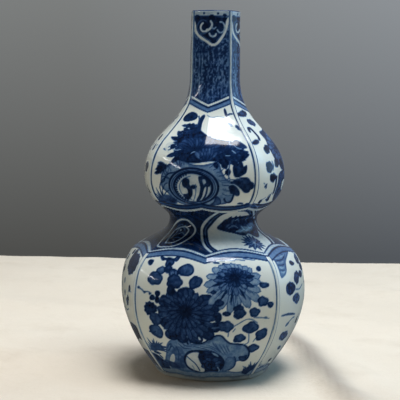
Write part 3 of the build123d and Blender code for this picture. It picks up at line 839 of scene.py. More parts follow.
    # Peony
    area(panel, [(-20, 165), (-14, 168.6), (-9, 171), (-5, 171), (-1, 168.6), (4, 165.6), (10, 164), (16, 163),
        (20, 162.6), (25, 160.6), (29, 158), (28, 155.6), (33, 154.6), (31, 151.6), (26, 149.6), (22, 150.6),
        (19, 147.2), (15, 147.6), (11, 149.6), (4, 149.6), (-2, 148.6), (-9, 148.6), (-13, 150), (-18, 151),
        (-20, 155), (-19, 160)], 0.95, 0.98, soft=0.35)
    petal_ring(panel, -3, 156, 15, 3, 18.6, 6.4, 0.84, 0.98, 0, 0.95, 73, 0.72, sweep=190)
    petal_ring(panel, 16, 154.6, 8, 2, 13.6, 5.6, 0.84, 0.97, -60, 0.95, 74, 0.66, sweep=150)
    petal_ring(panel, -12, 155, 8, 1, 9.4, 4.6, 0.86, 0.98, 130, 0.96, 76, 0.66, sweep=150)
    for x, z, far, lean in ((-18, 163, 8.4, 165), (-17, 165.4, 7, 140), (-12, 168.4, 6, 150), (-18, 160.6, 6, 180),
            (-18, 154, 8, 195), (-16, 152, 7, 215), (24, 152, 7, -10), (22, 150, 6, -40), (26, 155, 7, 10),
            (10, 149.6, 5, -70), (17, 148.6, 4, -80)):
        long_leaf(panel, x, z, far, 3.4, lean, 0.9, 0.97)
    long_leaf(panel, -4.6, 172, 14, 4.6, 178, 0.86, 0.96, teeth=4)
    long_leaf(panel, -6, 169.6, 13, 3.4, 190, 0.86, 0.95, teeth=3)
    petal_ring(panel, 3.6, 149.4, 7, 1, 12, 4.2, 0.66, 0.93, 44, 0.93, 75, 0.9, sweep=104)
    for x in (0, 2, 4, 6, 8):
        line(panel, [(x, 151), (x + 0.2, 155), (x + 0.8, 159.6)], 0.45, 0.93)
    scroll(panel, -25, 158.4, 4.2, 1.1, 250, 0.8, 0.9, -1, squash=0.75)
    area(panel, [(-28, 157), (-27.6, 160), (-24, 161.4), (-21, 160.6), (-24, 159.6), (-26, 157.6), (-25, 155.6),
        (-22, 154.4), (-26, 154.8)], 0.06)
    round_leaf(panel, -22, 158.4, 5, 3.4, 0, 0.96, None, 5)
    for points in ([(-22, 157), (-18.6, 156.4), (-15, 157)], [(-7, 154.6), (-5.2, 155.6), (-4, 155.8)],
            [(17, 153.6), (20, 153.6)], [(18, 163.6), (19, 161), (20.4, 160.4)], [(22, 160), (25, 158.4), (28, 157.6)],
            [(21, 157), (24, 155)]):
        line(panel, points, 0.8, 0.25, (0.4, 0.4))
    # Stems and leaves above the peony
    line(panel, [(-4, 170), (-4.2, 174), (-3.4, 177), (-2.2, 179)], 3.4, 0.9, (0.9, 0.5))
    line(panel, [(-6, 178.6), (-5.2, 176), (-5.6, 172)], 1.0, 0.8)
    round_leaf(panel, -12.6, 178, 11, 7.8, 0, 0.9, 0.97)
    line(panel, [(0, 179.4), (3, 178), (7, 178.4), (12, 178.2)], 0.6, 0.4)
    line(panel, [(11.6, 183.4), (12.6, 181), (13.4, 179)], 1.9, 0.92, (0.6, 0.6))
    line(panel, [(13.4, 179), (15.4, 180.2), (17, 180.4)], 1.2, 0.9)
    round_leaf(panel, 17, 173.4, 4.4, 2.2, -50, 0.5)
    long_leaf(panel, 20.6, 173, 7.4, 3.2, -58, 0.78, 0.9, teeth=3)
    area(panel, [(21, 162.6), (23.6, 163.4), (29, 160.6), (31, 158.6), (28, 158), (24, 159.6)], 0.8, 0.92)
    # Leaves to the right
    area(panel, [(22.6, 146), (24, 149.6), (25.6, 147.6), (27, 151), (29, 149), (30, 146.6), (32, 147.4), (32, 143),
        (29, 140.6), (26, 139.4), (23.6, 140.6)], 0.93, 0.97)
    several(panel, round_leaf, (19.4, 143, 4, 5, 0, 0.96, None, 4), (16.4, 147.4, 4, 4, 0, 0.93))
    area(panel, [(22, 136.4), (25.4, 138.6), (30, 139.6), (33.4, 139), (35, 136.8), (37, 135.4), (36.8, 132.4),
        (34.6, 131), (33.4, 129.4), (30.4, 129.4), (28.4, 131.6), (25.6, 134), (22.6, 135.4)], 0.86, 0.95)
    area(panel, [(20, 133.6), (23, 134.6), (25.6, 133), (27.2, 130.4), (27, 127.4), (24.4, 127.2), (23.4, 128.6),
        (21.2, 128.6), (20.4, 131)], 0.86, 0.95)
    line(panel, [(20.4, 134.6), (23.4, 135), (26.4, 133), (27.6, 131)], 0.6, 0.2)
    line(panel, [(20.4, 150), (20, 144), (20.4, 138.6), (24, 138), (28, 138.8)], 0.8, 0.7)
    several(panel, round_leaf, (27, 121.6, 4, 1.8, 0, 0.85), (32, 121.4, 3, 1.6, 0, 0.85))


def upper_right(panel):
    """A round flower over a pierced rock."""
    several(panel, round_leaf, (-11.6, 180.4, 12, 5.4, 6, 0.86, 0.95, 6), (-9, 174.4, 11, 6, -8, 0.76, 0.92, 5))
    line(panel, [(-21.4, 169), (-20, 170.6), (-17.4, 170.4), (-17, 168), (-17.4, 165), (-19, 163.6)], 2.6, 0.9)
    several(panel, round_leaf, (-25.6, 162, 10, 3.6, 12, 0.92), (-18.6, 157, 9.6, 6.4, 22, 0.93, 0.97, 5))
    area(panel, [(-13.6, 150), (-14.6, 158), (-11, 163), (-10, 168), (-3, 169), (4, 171), (12, 168), (18, 162),
        (19, 154), (15, 148), (9, 144), (2, 141), (-6, 143), (-9, 146)], 0.84, 0.94)
    petal_ring(panel, 1, 157, 15, 4, 16.5, 5.4, 0.64, 0.94, 4, 0.92, 81, 0.8)
    petal_ring(panel, 1, 157, 13, 2, 10, 3.6, 0.72, 0.97, 0, 0.96, 82, 0.84)
    several(panel, round_leaf, (1, 157.4, 5.6, 4.6, 0, 0.97, None, 7, 0, 0.2),
        (-12.6, 147.6, 7.6, 7, 0, 0.92, 0.97, 5), (-5, 147.6, 6, 6, 0, 0.95, None, 5),
        (-24, 145.4, 9.4, 8.6, 0, 0.93, 0.98, 5), (-20.4, 138, 10.4, 6.2, 0, 0.95, None, 5))
    line(panel, [(-19, 149), (-18, 146), (-20, 143)], 1.0, 0.7)
    line(panel, [(-14.8, 138), (-15.2, 133.6), (-14.4, 127)], 2.4, 0.9)
    area(panel, [(-12, 126), (-12.4, 134), (-11, 140), (-4, 142), (5, 141), (11, 138), (16, 134), (18, 128), (12, 123),
        (6, 121.6), (-6, 121)], 0.76, 0.9, edge_width=1.2)
    several(panel, round_leaf, (2.4, 131.4, 16, 13, 0, 0.96), (2.4, 131.4, 13.4, 10.6, 0, 0.05))
    line(panel, [(-1, 128), (0, 132), (3, 134.6)], 1.0, 0.5)
    tuft(panel, -16, 122, 6, 6.4, 1.5, 90, 165, 0.85, 83)
    scatter(panel, 304, UPPER_SPOTS, [(0, 157, 19), (-21, 142, 9), (-17, 158, 7), (-26, 162, 6), (3, 131, 17),
        (-16, 125, 7), (-10, 178, 10), (-8, 173, 9), (-19, 167, 6)])


def upper_back(panel):
    """A wide flower over a pierced rock."""
    flower(panel, 2, 155, (30, 22, 0, 0.94), [(0, 18, 4, 19, 6.2, 0.82, 0.97, 0, 0.96, 91),
        (-1, 13, 2, 11.5, 4.2, 0.8, 0.98, 8, 0.98, 92)], (-0.4, 6, 4.6, 0.97, 7), 0.72)
    area(panel, [(-24, 124), (-22, 134), (-14, 139), (-4, 138), (6, 140), (14, 134), (15, 124), (0, 121)], 0.36, 0.52,
        edge_width=1.2)
    ring(panel, -4, 130, 10, 7.6, 1.3, 0.95)
    area(panel, [(-12, 130), (-8, 135), (0, 135.4), (4, 130), (0, 125), (-8, 125)], 0.08, 0.2)
    round_leaf(panel, -5, 130, 8, 6, 0, 0.92, None, 6)
    scatter(panel, 305, UPPER_SPOTS,
        [(2, 155, 17), (-8, 157, 12), (12, 157, 12), (-4, 130, 14), (-18, 130, 8), (10, 130, 9)])


def upper_left(panel):
    """A flower over a low rock, and a leaf to the right."""
    several(panel, round_leaf, (26.6, 143.6, 12.6, 7.4, 10, 0.93, None, 7), (20, 163, 4, 3, 0, 0.85))
    flower(panel, -4, 154, (26, 22, 0, 0.93), [(0, 17, 4, 16.5, 5.8, 0.8, 0.97, 0, 0.96, 93),
        (0, 12, 2, 10, 4, 0.8, 0.98, 8, 0.98, 94)], (0.4, 6, 5, 0.97, 7), 0.84)
    area(panel, [(-22, 124), (-20, 133), (-10, 136), (0, 134), (8, 136), (16, 130), (16, 123), (0, 121)], 0.36, 0.52,
        edge_width=1.2)
    ring(panel, -2, 129, 8, 5.6, 1.2, 0.95)
    scatter(panel, 306, UPPER_SPOTS, [(-4, 154, 18), (26, 143, 8), (-2, 128, 16), (-16, 128, 7), (12, 128, 7)])


def neck_panel(panel):
    """Dark ground with a small close pattern, and a ruyi head under the rim."""
    band(panel, chevron(1.0), level(247.2), 0.9, 0.3, -0.74, 0.74)
    x = panel.away * panel.girth
    inner = (np.abs(panel.away) < 0.73) & (panel.z < 246.5) & (panel.z > chevron(1.8)(panel.away))
    blotch = np.clip(mottle(x, panel.up * 0.75, 15, 0.95) * 3.2 - 1.5, 0, 1)
    cloud = np.clip(mottle(x, panel.up * 0.4, 16, 5) * 2.4 - 0.6, 0, 1)
    paler = blotch * (0.45 + 0.55 * cloud) * 0.8
    for across, half in ((-11.4, 0.5), (-8.2, 0.7), (-6.0, 0.5), (-1.2, 0.6), (2.2, 0.5), (6.2, 0.4), (8.6, 0.7),
            (12.0, 0.6)):
        broken = np.clip(mottle(panel.up, panel.up * 0 + across, 17, 4) * 2.4 - 0.6, 0, 1)
        paler += 0.6 * np.exp(-(((x - across - 0.25 * np.sin(panel.up * 0.5)) / half) ** 2)) * broken
    panel.ground.lay(panel.chosen, np.clip(paler * 1.25, 0, 0.92) * inner, 0.4)
    # Ruyi head
    outer = [(-13.4, 246.8), (-13, 240), (-12.2, 235.6), (-9.8, 232.2), (-6.4, 230), (-3, 228), (-0.2, 226.2),
        (2.6, 225.6), (5.6, 227.2), (8.2, 230.6), (10.2, 234), (11.6, 238), (12.2, 242), (12, 246.8)]
    head = placed(smooth_line(outer, closed=True))
    for grow, tone in ((0, 0.06), (-1.9, 0.96)):
        panel.fill(head, tone, grow=grow, soft=0.25)
    several(panel, ring, (-5.6, 238.6, 4.6, 4.6, 0.7, 0.66, 60, 350), (-4.8, 238.4, 2.7, 2.9, 1.4, 0.1, 110, 330))
    line(panel, [(-3.4, 235.8), (-1.4, 236.6), (0.4, 238.4), (1, 240.6), (0, 242.4)], 1.5, 0.1)
    line(panel, [(0.6, 238.6), (2.2, 237.4), (3.6, 238.4)], 1.0, 0.3)
    ring(panel, 7, 238.4, 2.7, 3.6, 1.1, 0.24, -150, 100)
    line(panel, [(-0.8, 234.2), (0, 232.8), (1.6, 232.2), (3.2, 232.8), (3.8, 234)], 1.3, 0.15)
    round_leaf(panel, 1.4, 234.8, 2.6, 2, 0, 0.97)
    line(panel, [(-8, 233.6), (-4, 231.4), (0, 229.2)], 0.6, 0.65)
    line(panel, [(4, 229.4), (6.6, 232), (8.4, 234.6)], 0.6, 0.65)
    band(panel, level(245.4), level(246.2), 0.9, 0.25, -0.8, 0.8)
    band(panel, level(246.1), level(RIM_BAND), 0.17, 0.3, -0.8, 0.8)
    band(panel, level(249.3), level(251.0), 0.86, 0.2, -0.8, 0.8)
    for x, z, size in ((0.6, 245.2, 3.8), (-10, 245, 4.2), (9.6, 246.4, 2.6), (-5, 247.8, 1.6), (5, 247.6, 1.6)):
        round_leaf(panel, x, z, size, size * 0.9, 0, 0.98)


def waist(ground):
    """Dark ground round the waist, with roundels and larger white cartouches."""
    borders = (ground.z < arch_height(ground.angle) - 0.3) | (ground.z > low_edge(-0.9)(ground.angle))
    before = ground.tone[borders]
    for middle in PANELS:
        band(Panel(ground, middle), arch_line(0.5), low_edge(-0.5), 0.95, 0.25)
    rest = np.nonzero((ground.z > ARCH_CUSP) & (ground.z < 119) & (ground.tone > 0.9))[0]
    round_way = ground.angle[rest]
    faint = mottle(30 * np.cos(round_way), 30 * np.sin(round_way) + ground.up[rest], 21, 1.3)
    ground.lay(rest, np.clip(faint * 2.2 - 1.1, 0, 0.5), 0.62)
    for middle in (0, 180):
        roundel(Panel(ground, middle))
    for middle in (37, 217):
        cartouche(Panel(ground, middle))
    for middle in PANELS:
        panel = Panel(ground, middle)
        band(panel, arch_line(-0.4), arch_line(0.45), 0.14, 0.25)
        band(panel, arch_line(0.45), arch_line(1.0), 0.9, 0.2)
    ground.tone[borders] = before


def roundel(panel):
    """A pear-shaped medallion with a coiled flower."""
    rim = placed(smooth_line([(-15, 109), (-10.6, 106.4), (-8.3, 103), (-9.2, 99.8), (-13, 96.6), (-18.6, 93.8),
        (-25, 91.8), (-32, 90.8), (-38.5, 90.8), (-37, 94.6), (-33, 99.6), (-28, 104.6), (-21, 108.4)], closed=True))
    for grow, tone in ((0, 0.1), (-1.4, 0.95), (-5.0, 0.16), (-6.1, 0.94)):
        panel.fill(rim, tone, grow=grow, soft=0.25)
    line(panel, [(-29, 95.6), (-25.4, 98.4), (-22, 102), (-19, 103.4), (-17, 101.4)], 0.7, 0.38)
    line(panel, [(-27, 100), (-23, 103.6), (-18.6, 105)], 0.6, 0.5)
    line(panel, [(-22.4, 98.6), (-19.4, 99.8), (-17.4, 98.6)], 0.7, 0.33)
    line(panel, [(-26, 96.2), (-22.6, 96.8), (-19.6, 96.6)], 0.6, 0.45)
    round_leaf(panel, -20.8, 101, 1.8, 1.6, 0, 0.2)


def cartouche(panel):
    """A large white cartouche with leaves and spiked flowers, cut off by the shoulder."""
    left = [(-8, 118.6), (-20, 116), (-29, 112.8), (-37, 109.6), (-43, 106.4), (-46.2, 103), (-46, 99.6), (-43.6, 96),
        (-38.8, 92.4), (-31, 88.6), (-20, 84.6), (-8, 82.4)]
    rim = by_angle(smooth_line(left + [(-x, z) for x, z in left[::-1]], closed=True))
    for grow, tone in ((0, 0.12), (-1.8, 0.95), (-3.1, 0.55), (-3.6, 0.95), (-5.0, 0.05)):
        panel.fill(rim, tone, grow=grow, soft=0.25)
    area(panel, [(-14, 103.4), (-11, 106.4), (-6, 109.6), (0, 111), (7, 111.6), (14, 111.4), (19, 109), (22, 104),
        (20, 98.4), (14, 96.6), (8, 99.4), (3, 98.4), (-4, 100.2), (-9, 101.4)], 0.82, 0.95, edge_width=1.0)
    for x, z, far, lean in ((-10, 105.4, 8, 40), (-6, 105.4, 8, 66), (-1, 105.4, 8, 80), (4, 105.4, 8, 100),
            (7, 105.4, 8, 66), (12, 105.4, 8, 88), (15, 105.4, 8, 60), (18, 104.4, 7, 40), (-12, 103.4, 9, 8),
            (-8, 101.6, 9, 4), (2, 100, 8, 8), (10, 99.6, 8, 12)):
        long_leaf(panel, x, z, far, 3.0, lean, 0.93, 0.98)
    for x, z, lean in ((-8, 104, 30), (-3, 106, 60), (3, 106.4, 100), (9, 107, 70), (0, 101.6, 10), (8, 103, 30),
            (14, 103.6, 60), (14, 99.6, -10)):
        long_leaf(panel, x, z, 5.4, 1.8, lean, 0.55, 0.8)
    for points in ([(-6, 103.4), (-2, 105), (1, 103.6)], [(4, 104.4), (6, 101.8), (8.4, 101.4)],
            [(10, 105), (12, 102.6), (15, 103)], [(-1, 101.4), (2, 101), (5, 102)], [(0, 108.4), (2, 109.4)],
            [(9, 108.6), (11, 109.4)]):
        line(panel, points, 0.6, 0.36)
    round_leaf(panel, 6, 95, 13, 9, 0, 0.62)
    for lean in range(-20, 340, 24):
        long_leaf(panel, 6.4, 94.4, 9.4 if 50 < lean < 330 else 7.4, 2.8, lean, 0.7, 0.92)
    for lean in (40, 66, 92, 118, 160, 200, 245, 300):
        u, v = spun(6.4, 0, lean)
        panel.stroke(around(6.4, 94.2, np.array([0, u]), np.array([0, v])), np.array([0.34, 0.1]), 0.3)


def painted(angle, z):
    """The cobalt at each point of the outside."""
    ground = Ground(angle, z)
    low, high = z.min(), z.max()
    if low < SHOULDER_JOINT:
        for middle, paint in zip(PANELS, (lower_front, lower_right, lower_back, lower_left)):
            panel = Panel(ground, middle)
            paint(panel)
            lower_frame(panel)
        rib_lines(ground, 3, ARCH_CUSP - 1.0, 0.85)
    if high > WAIST_JOINT:
        for middle, paint in zip(PANELS, (upper_front, upper_right, upper_back, upper_left)):
            panel = Panel(ground, middle)
            paint(panel)
            neck_panel(panel)
            upper_frame(panel)
        rib_lines(ground, 121, 249.5, 1.0)
    if high > ARCH_CUSP - 2 and low < 120:
        waist(ground)
    ground.lay(np.nonzero(z > RIM_BAND)[0], 0.9, 0.9)
    return ground.tone


# Skins of the sections

ROW_GAP = 0.62
COLUMN_GAP = 0.62
TRIANGLE_LIMIT = 194_000
# How far the columns are drawn together at the front, where the painting is finest
FRONT_SHARE = 0.25
# Points closer than this, in metres, become one
WELD = 0.00002
SMOOTH_UNDER = math.radians(40)
# Map of a skin: its margin, its size within that, and how much the unseen side is shortened
MAP_EDGE, MAP_WIDE, MAP_HIGH = 0.001, 0.996, 0.998
HIDDEN_SHARE = 0.2
# Heights above which the outside is painted and the foot is glazed
PAINT_FROM = 1.0
GLAZE_FROM = 0.4


def outer_rows(low, high, gap):
    """Rows up the outside, evenly spaced along its outline."""
    count = max(int((run(high) - run(low)) / gap), 8)
    z = height_at(np.linspace(run(low), run(high), count + 1))
    return [(float(girth(h)), float(h), 1) for h in z]


def groove_rows(z, way):
    """Half of the groove for a joint's slip, from the rim inwards; way is 1 where the section is above."""
    return [(float(bore(z)) + GROOVE, z, 0), (float(bore(z + way * GROOVE_HALF)), z + way * GROOVE_HALF, 0)]


def inner_rows(high, low, count):
    """Rows down the inside."""
    return [(float(bore(z)), float(z), 0) for z in np.linspace(high, low, count)[1:-1]]


def profile(low, high):
    """Closed outline of a section's wall: radius, height and 1 where it is on the outside."""
    rows = outer_rows(low, high, ROW_GAP)
    if high < RIM[1]:
        rows += groove_rows(high, -1)
        rows += inner_rows(high - GROOVE_HALF, low + GROOVE_HALF, 10)
    else:
        rows = outer_rows(low, high - LIP, ROW_GAP)
        rows += [(RIM[0] - 0.12, high - 0.5, 1), (RIM[0] - 0.42, high - 0.14, 1), (RIM[0] - LIP, high, 1)]
        rows += [(BORE + LIP, high, 0), (BORE + 0.4, high - 0.16, 0), (BORE, high - LIP, 0)]
        rows += inner_rows(high - LIP, low + GROOVE_HALF, 12)
    rows += groove_rows(low, 1)[::-1]
    return rows


def base_profile(high):
    """Open outline of the lowest section, from the middle of its underside to the middle of its floor."""
    edge = FOOT_RADIUS - FOOT_EDGE
    inner = edge - FOOT_WIDTH
    rows = [(0, RECESS, 0), (inner * 0.5, RECESS, 0), (inner - 3, RECESS, 0), (inner - 1.2, RECESS - 0.5, 0),
        (inner - 0.4, 1.2, 0), (inner + 0.3, 0.25, 0), (inner + 1, 0, 0), (edge - 0.8, 0, 1), (edge + 0.1, 0.16, 1),
        (FOOT_RADIUS - 0.12, 0.7, 1), (FOOT_RADIUS, 1.2, 1), (FOOT_RADIUS, 2.2, 1),
        (FOOT_RADIUS, FOOT_HEIGHT - 0.3, 1), (FOOT_RADIUS + 0.35, FOOT_HEIGHT, 1)]
    rows += outer_rows(FOOT_HEIGHT + 0.35, high, 0.6)
    rows += groove_rows(high, -1) + inner_rows(high - GROOVE_HALF, FLOOR + FLOOR_ROUND, 8)
    corner = float(bore(FLOOR + FLOOR_ROUND))
    for share in (0, 0.25, 0.5, 0.75, 1):
        a = share * math.pi / 2
        rows.append((
            corner - FLOOR_ROUND * (1 - math.cos(a)) - 0.9 * share, FLOOR + FLOOR_ROUND * (1 - math.sin(a)), 0,
        ))
    return rows + [(corner * 0.45, FLOOR, 0), (0, FLOOR, 0)]


def deselect():
    for each in bpy.context.selected_objects:
        each.select_set(False)


def spun_mesh(name, rows, closed, columns):
    """Spins the wall's outline round the axis. Each point keeps the number of its row."""
    deselect()
    bpy.ops.mesh.primitive_circle_add(vertices=len(rows), radius=rows[0][0] * MM + 0.001, location=(0, 0, 0))
    skin = bpy.context.object
    skin.name = skin.data.name = name
    skin.data.vertices.foreach_set("co", np.array([(r * MM, 0, z * MM) for r, z, _ in rows], np.float32).ravel())
    number = skin.data.attributes.new("row", "FLOAT", "POINT")
    number.data.foreach_set("value", np.arange(len(rows), dtype=np.float32))
    bpy.ops.object.mode_set(mode="EDIT")
    if not closed:
        bpy.ops.object.mode_set(mode="OBJECT")
        last = len(rows) - 1
        for edge in skin.data.edges:
            edge.select = set(edge.vertices) == {0, last}
        for point in skin.data.vertices:
            point.select = point.index in (0, last)
        bpy.ops.object.mode_set(mode="EDIT")
        bpy.ops.mesh.select_mode(type="EDGE")
        bpy.ops.mesh.delete(type="EDGE")
    bpy.ops.mesh.select_mode(type="VERT")
    bpy.ops.mesh.select_all(action="SELECT")
    bpy.ops.mesh.spin(steps=columns, angle=TURN, center=(0, 0, 0), axis=(0, 0, 1))
    bpy.ops.mesh.select_all(action="SELECT")
    bpy.ops.mesh.remove_doubles(threshold=WELD)
    bpy.ops.mesh.normals_make_consistent(inside=False)
    bpy.ops.object.mode_set(mode="OBJECT")
    return skin


def shape_skin(skin, rows):
    """Presses the spun wall into the mould's panels and lays the painting on it."""
    mesh = skin.data
    count = len(mesh.vertices)
    co = np.empty(count * 3, np.float32)
    mesh.vertices.foreach_get("co", co)
    co = co.reshape(-1, 3).astype(float)
    number = np.empty(count, np.float32)
    mesh.attributes["row"].data.foreach_get("value", number)
    number = np.rint(number).astype(int)
    table = np.array(rows, float)
    angle = np.arctan2(co[:, 0], -co[:, 1])
    angle = angle - FRONT_SHARE * np.sin(angle)
    radius, z, shown = table[number].T
    out = shown > 0.5
    radius[out] = outside(angle[out], z[out], radius[out])
    way = angle + turn(z)
    co = np.stack([radius * np.sin(way), -radius * np.cos(way), z], 1) * MM
    mesh.vertices.foreach_set("co", co.astype(np.float32).ravel())
    tone = np.zeros(count)
    painted_rows = out & (z > PAINT_FROM)
    tone[painted_rows] = painted(angle[painted_rows], z[painted_rows])
    keep(mesh, "cobalt", tone)
    keep(mesh, "bare", (z < GLAZE_FROM) | ((z < RECESS - GLAZE_FROM) & ~out))
    keep(mesh, "foot", np.where(out, 1 - eased(z, [(3.2, 0), (4.2, 1)]), 0))
    lay_map(mesh, angle, number, rows)
    mesh.attributes.remove(mesh.attributes["row"])
    mesh.update()


def keep(mesh, name, values):
    """Stores one value for each point of a mesh."""
    layer = mesh.attributes.new(name, "FLOAT", "POINT")
    layer.data.foreach_set("value", np.asarray(values, np.float32))


def lay_map(mesh, angle, number, rows):
    """Unrolls the wall: the outside over most of the map, and the rest in a strip beside it."""
    lengths = [0.0]
    for a, b in zip(rows, rows[1:] + rows[:1]):
        lengths.append(lengths[-1] + math.hypot(a[0] - b[0], a[1] - b[1]) * (1.0 if a[2] and b[2] else HIDDEN_SHARE))
    up = np.array(lengths) / lengths[-1]
    loops = np.empty(len(mesh.loops), np.int32)
    mesh.loops.foreach_get("vertex_index", loops)
    starts = np.empty(len(mesh.polygons), np.int32)
    totals = np.empty(len(mesh.polygons), np.int32)
    mesh.polygons.foreach_get("loop_start", starts)
    mesh.polygons.foreach_get("loop_total", totals)
    face = np.repeat(np.arange(len(starts)), totals)
    across = (angle[loops] / TURN) % 1.0
    most = np.zeros(len(starts))
    np.maximum.at(most, face, across)
    across = np.where((across < 0.2) & (most[face] > 0.8), across + 1, across)
    upward = up[number[loops]]
    last = np.zeros(len(starts), int)
    np.maximum.at(last, face, number[loops])
    wraps = (number[loops] == 0) & (last[face] > 2)
    upward = np.where(wraps, 1.0, upward)
    layer = mesh.uv_layers.new(name="OFBake")
    places = np.stack([across * MAP_WIDE + MAP_EDGE, upward * MAP_HIGH + MAP_EDGE], 1)
    layer.data.foreach_set("uv", places.astype(np.float32).ravel())


def add_skin(node, low, high):
    """Builds the painted skin of one section between two heights, in place of its solid."""
    closed = low > 0
    rows = profile(low, high) if closed else base_profile(high)
    widest = max(r for r, _, _ in rows)
    columns = int(min(TURN * widest / COLUMN_GAP, TRIANGLE_LIMIT / 2 / len(rows)))
    skin = spun_mesh(node + "_skin", rows, closed, columns)
    shape_skin(skin, rows)
    deselect()
    skin.select_set(True)
    bpy.context.view_layer.objects.active = skin
    bpy.ops.object.shade_smooth_by_angle(angle=SMOOTH_UNDER)
    deselect()
    skin.data.materials.append(material("painted porcelain", glaze_material))
    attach(skin, "root")
    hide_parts(node)
    return skin


# Materials

class Wire:
    """A socket that takes Python's operators."""

    def __init__(self, nodes, socket):
        self.nodes, self.socket = nodes, socket

    def _math(self, operation, *values):
        return self.nodes.add("ShaderNodeMath", {"operation": operation}, dict(enumerate(values))).out()

    def __add__(self, other):
        return self._math("ADD", self, other)

    def __sub__(self, other):
        return self._math("SUBTRACT", self, other)

    def __rsub__(self, other):
        return self._math("SUBTRACT", other, self)

    def __mul__(self, other):
        return self._math("MULTIPLY", self, other)

    def clipped(self):
        return self.nodes.add("ShaderNodeClamp", {}, {"Value": self}).out()

    __radd__ = __add__
    __rmul__ = __mul__


class Node:
    """A node whose outputs come as wires."""

    def __init__(self, nodes, node):
        self.nodes, self.node = nodes, node

    def out(self, name=0):
        return Wire(self.nodes, self.node.outputs[name])


class Nodes:
    """The node tree of one material."""

    def __init__(self, tree):
        self.tree = tree
        tree.nodes.clear()

    def add(self, kind, settings=None, sockets=None):
        """Adds a node, with its settings and the values or wires of its inputs."""
        node = self.tree.nodes.new(kind)
        for name, value in (settings or {}).items():
            if name == "stops":
                ramp = node.color_ramp
                while len(ramp.elements) < len(value):
                    ramp.elements.new(1)
                for element, (place, colour) in zip(ramp.elements, value):
                    element.position, element.color = place, (*colour, 1)
            else:
                setattr(node, name, value)
        for name, value in (sockets or {}).items():
            if isinstance(value, Wire):
                self.tree.links.new(value.socket, node.inputs[name])
            else:
                node.inputs[name].default_value = value
        return Node(self, node)

    def attribute(self, name):
        return self.add("ShaderNodeAttribute", {"attribute_name": name, "attribute_type": "GEOMETRY"}).out("Fac")

    def noise(self, scale, detail=2.0, rough=0.5):
        sockets = {"Vector": self.place(), "Scale": scale, "Detail": detail, "Roughness": rough}
        return self.add("ShaderNodeTexNoise", {}, sockets).out("Fac")

    def place(self):
        return self.add("ShaderNodeTexCoord").out("Object")

    def mix(self, share, first, second, kind="MIX"):
        settings = {"data_type": "RGBA", "blend_type": kind}
        return self.add("ShaderNodeMix", settings, {0: share, 6: first, 7: second}).out(2)

    def surface(self, **sockets):
        inputs = {name.replace("_", " "): value for name, value in sockets.items()}
        shader = self.add("ShaderNodeBsdfPrincipled", {}, inputs)
        self.add("ShaderNodeOutputMaterial", {}, {"Surface": shader.out()})


def material(name, build):
    """The material of that name, built when it is first asked for."""
    found = bpy.data.materials.get(name)
    if found:
        return found
    made = bpy.data.materials.new(name)
    made.use_nodes = True
    build(Nodes(made.node_tree))
    return made


def rgba(colour):
    return (*colour, 1)


def glaze_material(nodes):
    """Clear glossy glaze over cobalt, which is streaked and heaped, on greenish white porcelain."""
    glaze = bpy.context.scene.vase_glaze
    cobalt, bare, foot = nodes.attribute("cobalt"), nodes.attribute("bare"), nodes.attribute("foot")
    wash = nodes.noise(260, 3, 0.6) - 0.5
    fine = nodes.noise(900, 2, 0.6) - 0.5
    speck = (nodes.noise(520, 2, 0.7) - 0.6).clipped() * 2.2
    body = (cobalt * 4).clipped()
    tone = cobalt + body * (wash * 0.46 + fine * 0.2) * (1.25 - cobalt) + speck * cobalt * 0.35
    ramp = nodes.add("ShaderNodeValToRGB", {"stops": [
        (0.0, tuple(glaze.white)),
        (0.12, (0.385, 0.475, 0.55)),
        (0.3, (0.175, 0.28, 0.425)),
        (0.5, (0.066, 0.145, 0.305)),
        (0.68, (0.024, 0.066, 0.185)),
        (0.85, (0.0055, 0.0235, 0.090)),
        (1.0, tuple(glaze.deep)),
    ]}, {"Fac": tone.clipped()}).out("Color")
    cloud = nodes.noise(38, 3, 0.55)
    warm = nodes.mix(cloud, rgba((0.95, 0.985, 1.02)), rgba((1.06, 1.0, 0.87)))
    colour = nodes.mix(1.0, ramp, warm, "MULTIPLY")
    grit = (nodes.noise(640, 2, 0.7) - 0.66).clipped() * 4
    colour = nodes.mix(grit * 0.5, colour, rgba((0.10, 0.085, 0.06)))
    colour = nodes.mix(foot * 0.45, colour, rgba((0.17, 0.19, 0.20)))
    colour = nodes.mix(bare, colour, rgba((0.46, 0.41, 0.34)))
    swell = nodes.noise(55, 2, 0.5) * 0.55 + nodes.noise(240, 2, 0.5) * 0.12 + nodes.noise(1500, 1, 0.5) * 0.012
    pit = (nodes.noise(700, 1, 0.5) - 0.7).clipped() * 0.6
    bump = nodes.add("ShaderNodeBump", {}, {"Strength": 0.35, "Distance": 0.0007, "Height": swell - pit}).out()
    rough = 0.07 + bare * 0.55 + foot * 0.12 + (nodes.noise(90, 2, 0.5) - 0.45).clipped() * 0.12
    nodes.surface(Base_Color=colour, Roughness=rough, Normal=bump, IOR=glaze.ior)


def slip_material(nodes):
    """Fired slip in the joints, glazed and a little duller than the outside."""
    cloud = nodes.noise(120, 3, 0.6)
    colour = nodes.mix(cloud, rgba((0.60, 0.61, 0.56)), rgba((0.70, 0.71, 0.67)))
    grain = nodes.noise(400, 3, 0.6)
    bump = nodes.add("ShaderNodeBump", {}, {"Strength": 0.4, "Distance": 0.0006, "Height": grain}).out()
    nodes.surface(Base_Color=colour, Roughness=0.28 + nodes.noise(200) * 0.1, Normal=bump)


# Table cloth: its columns and rows, and in metres its far edge, that edge's slant, its near edge and half its width
CLOTH_COLUMNS, CLOTH_ROWS = 300, 300
CLOTH_EDGE = 0.470
CLOTH_EDGE_TURN = -0.057
CLOTH_NEAR = -1.1
CLOTH_HALF = 1.3
# Share of the rows that lie on the table, and how far the rest hangs down
FLAT_SHARE = 0.95
HANG = 0.35
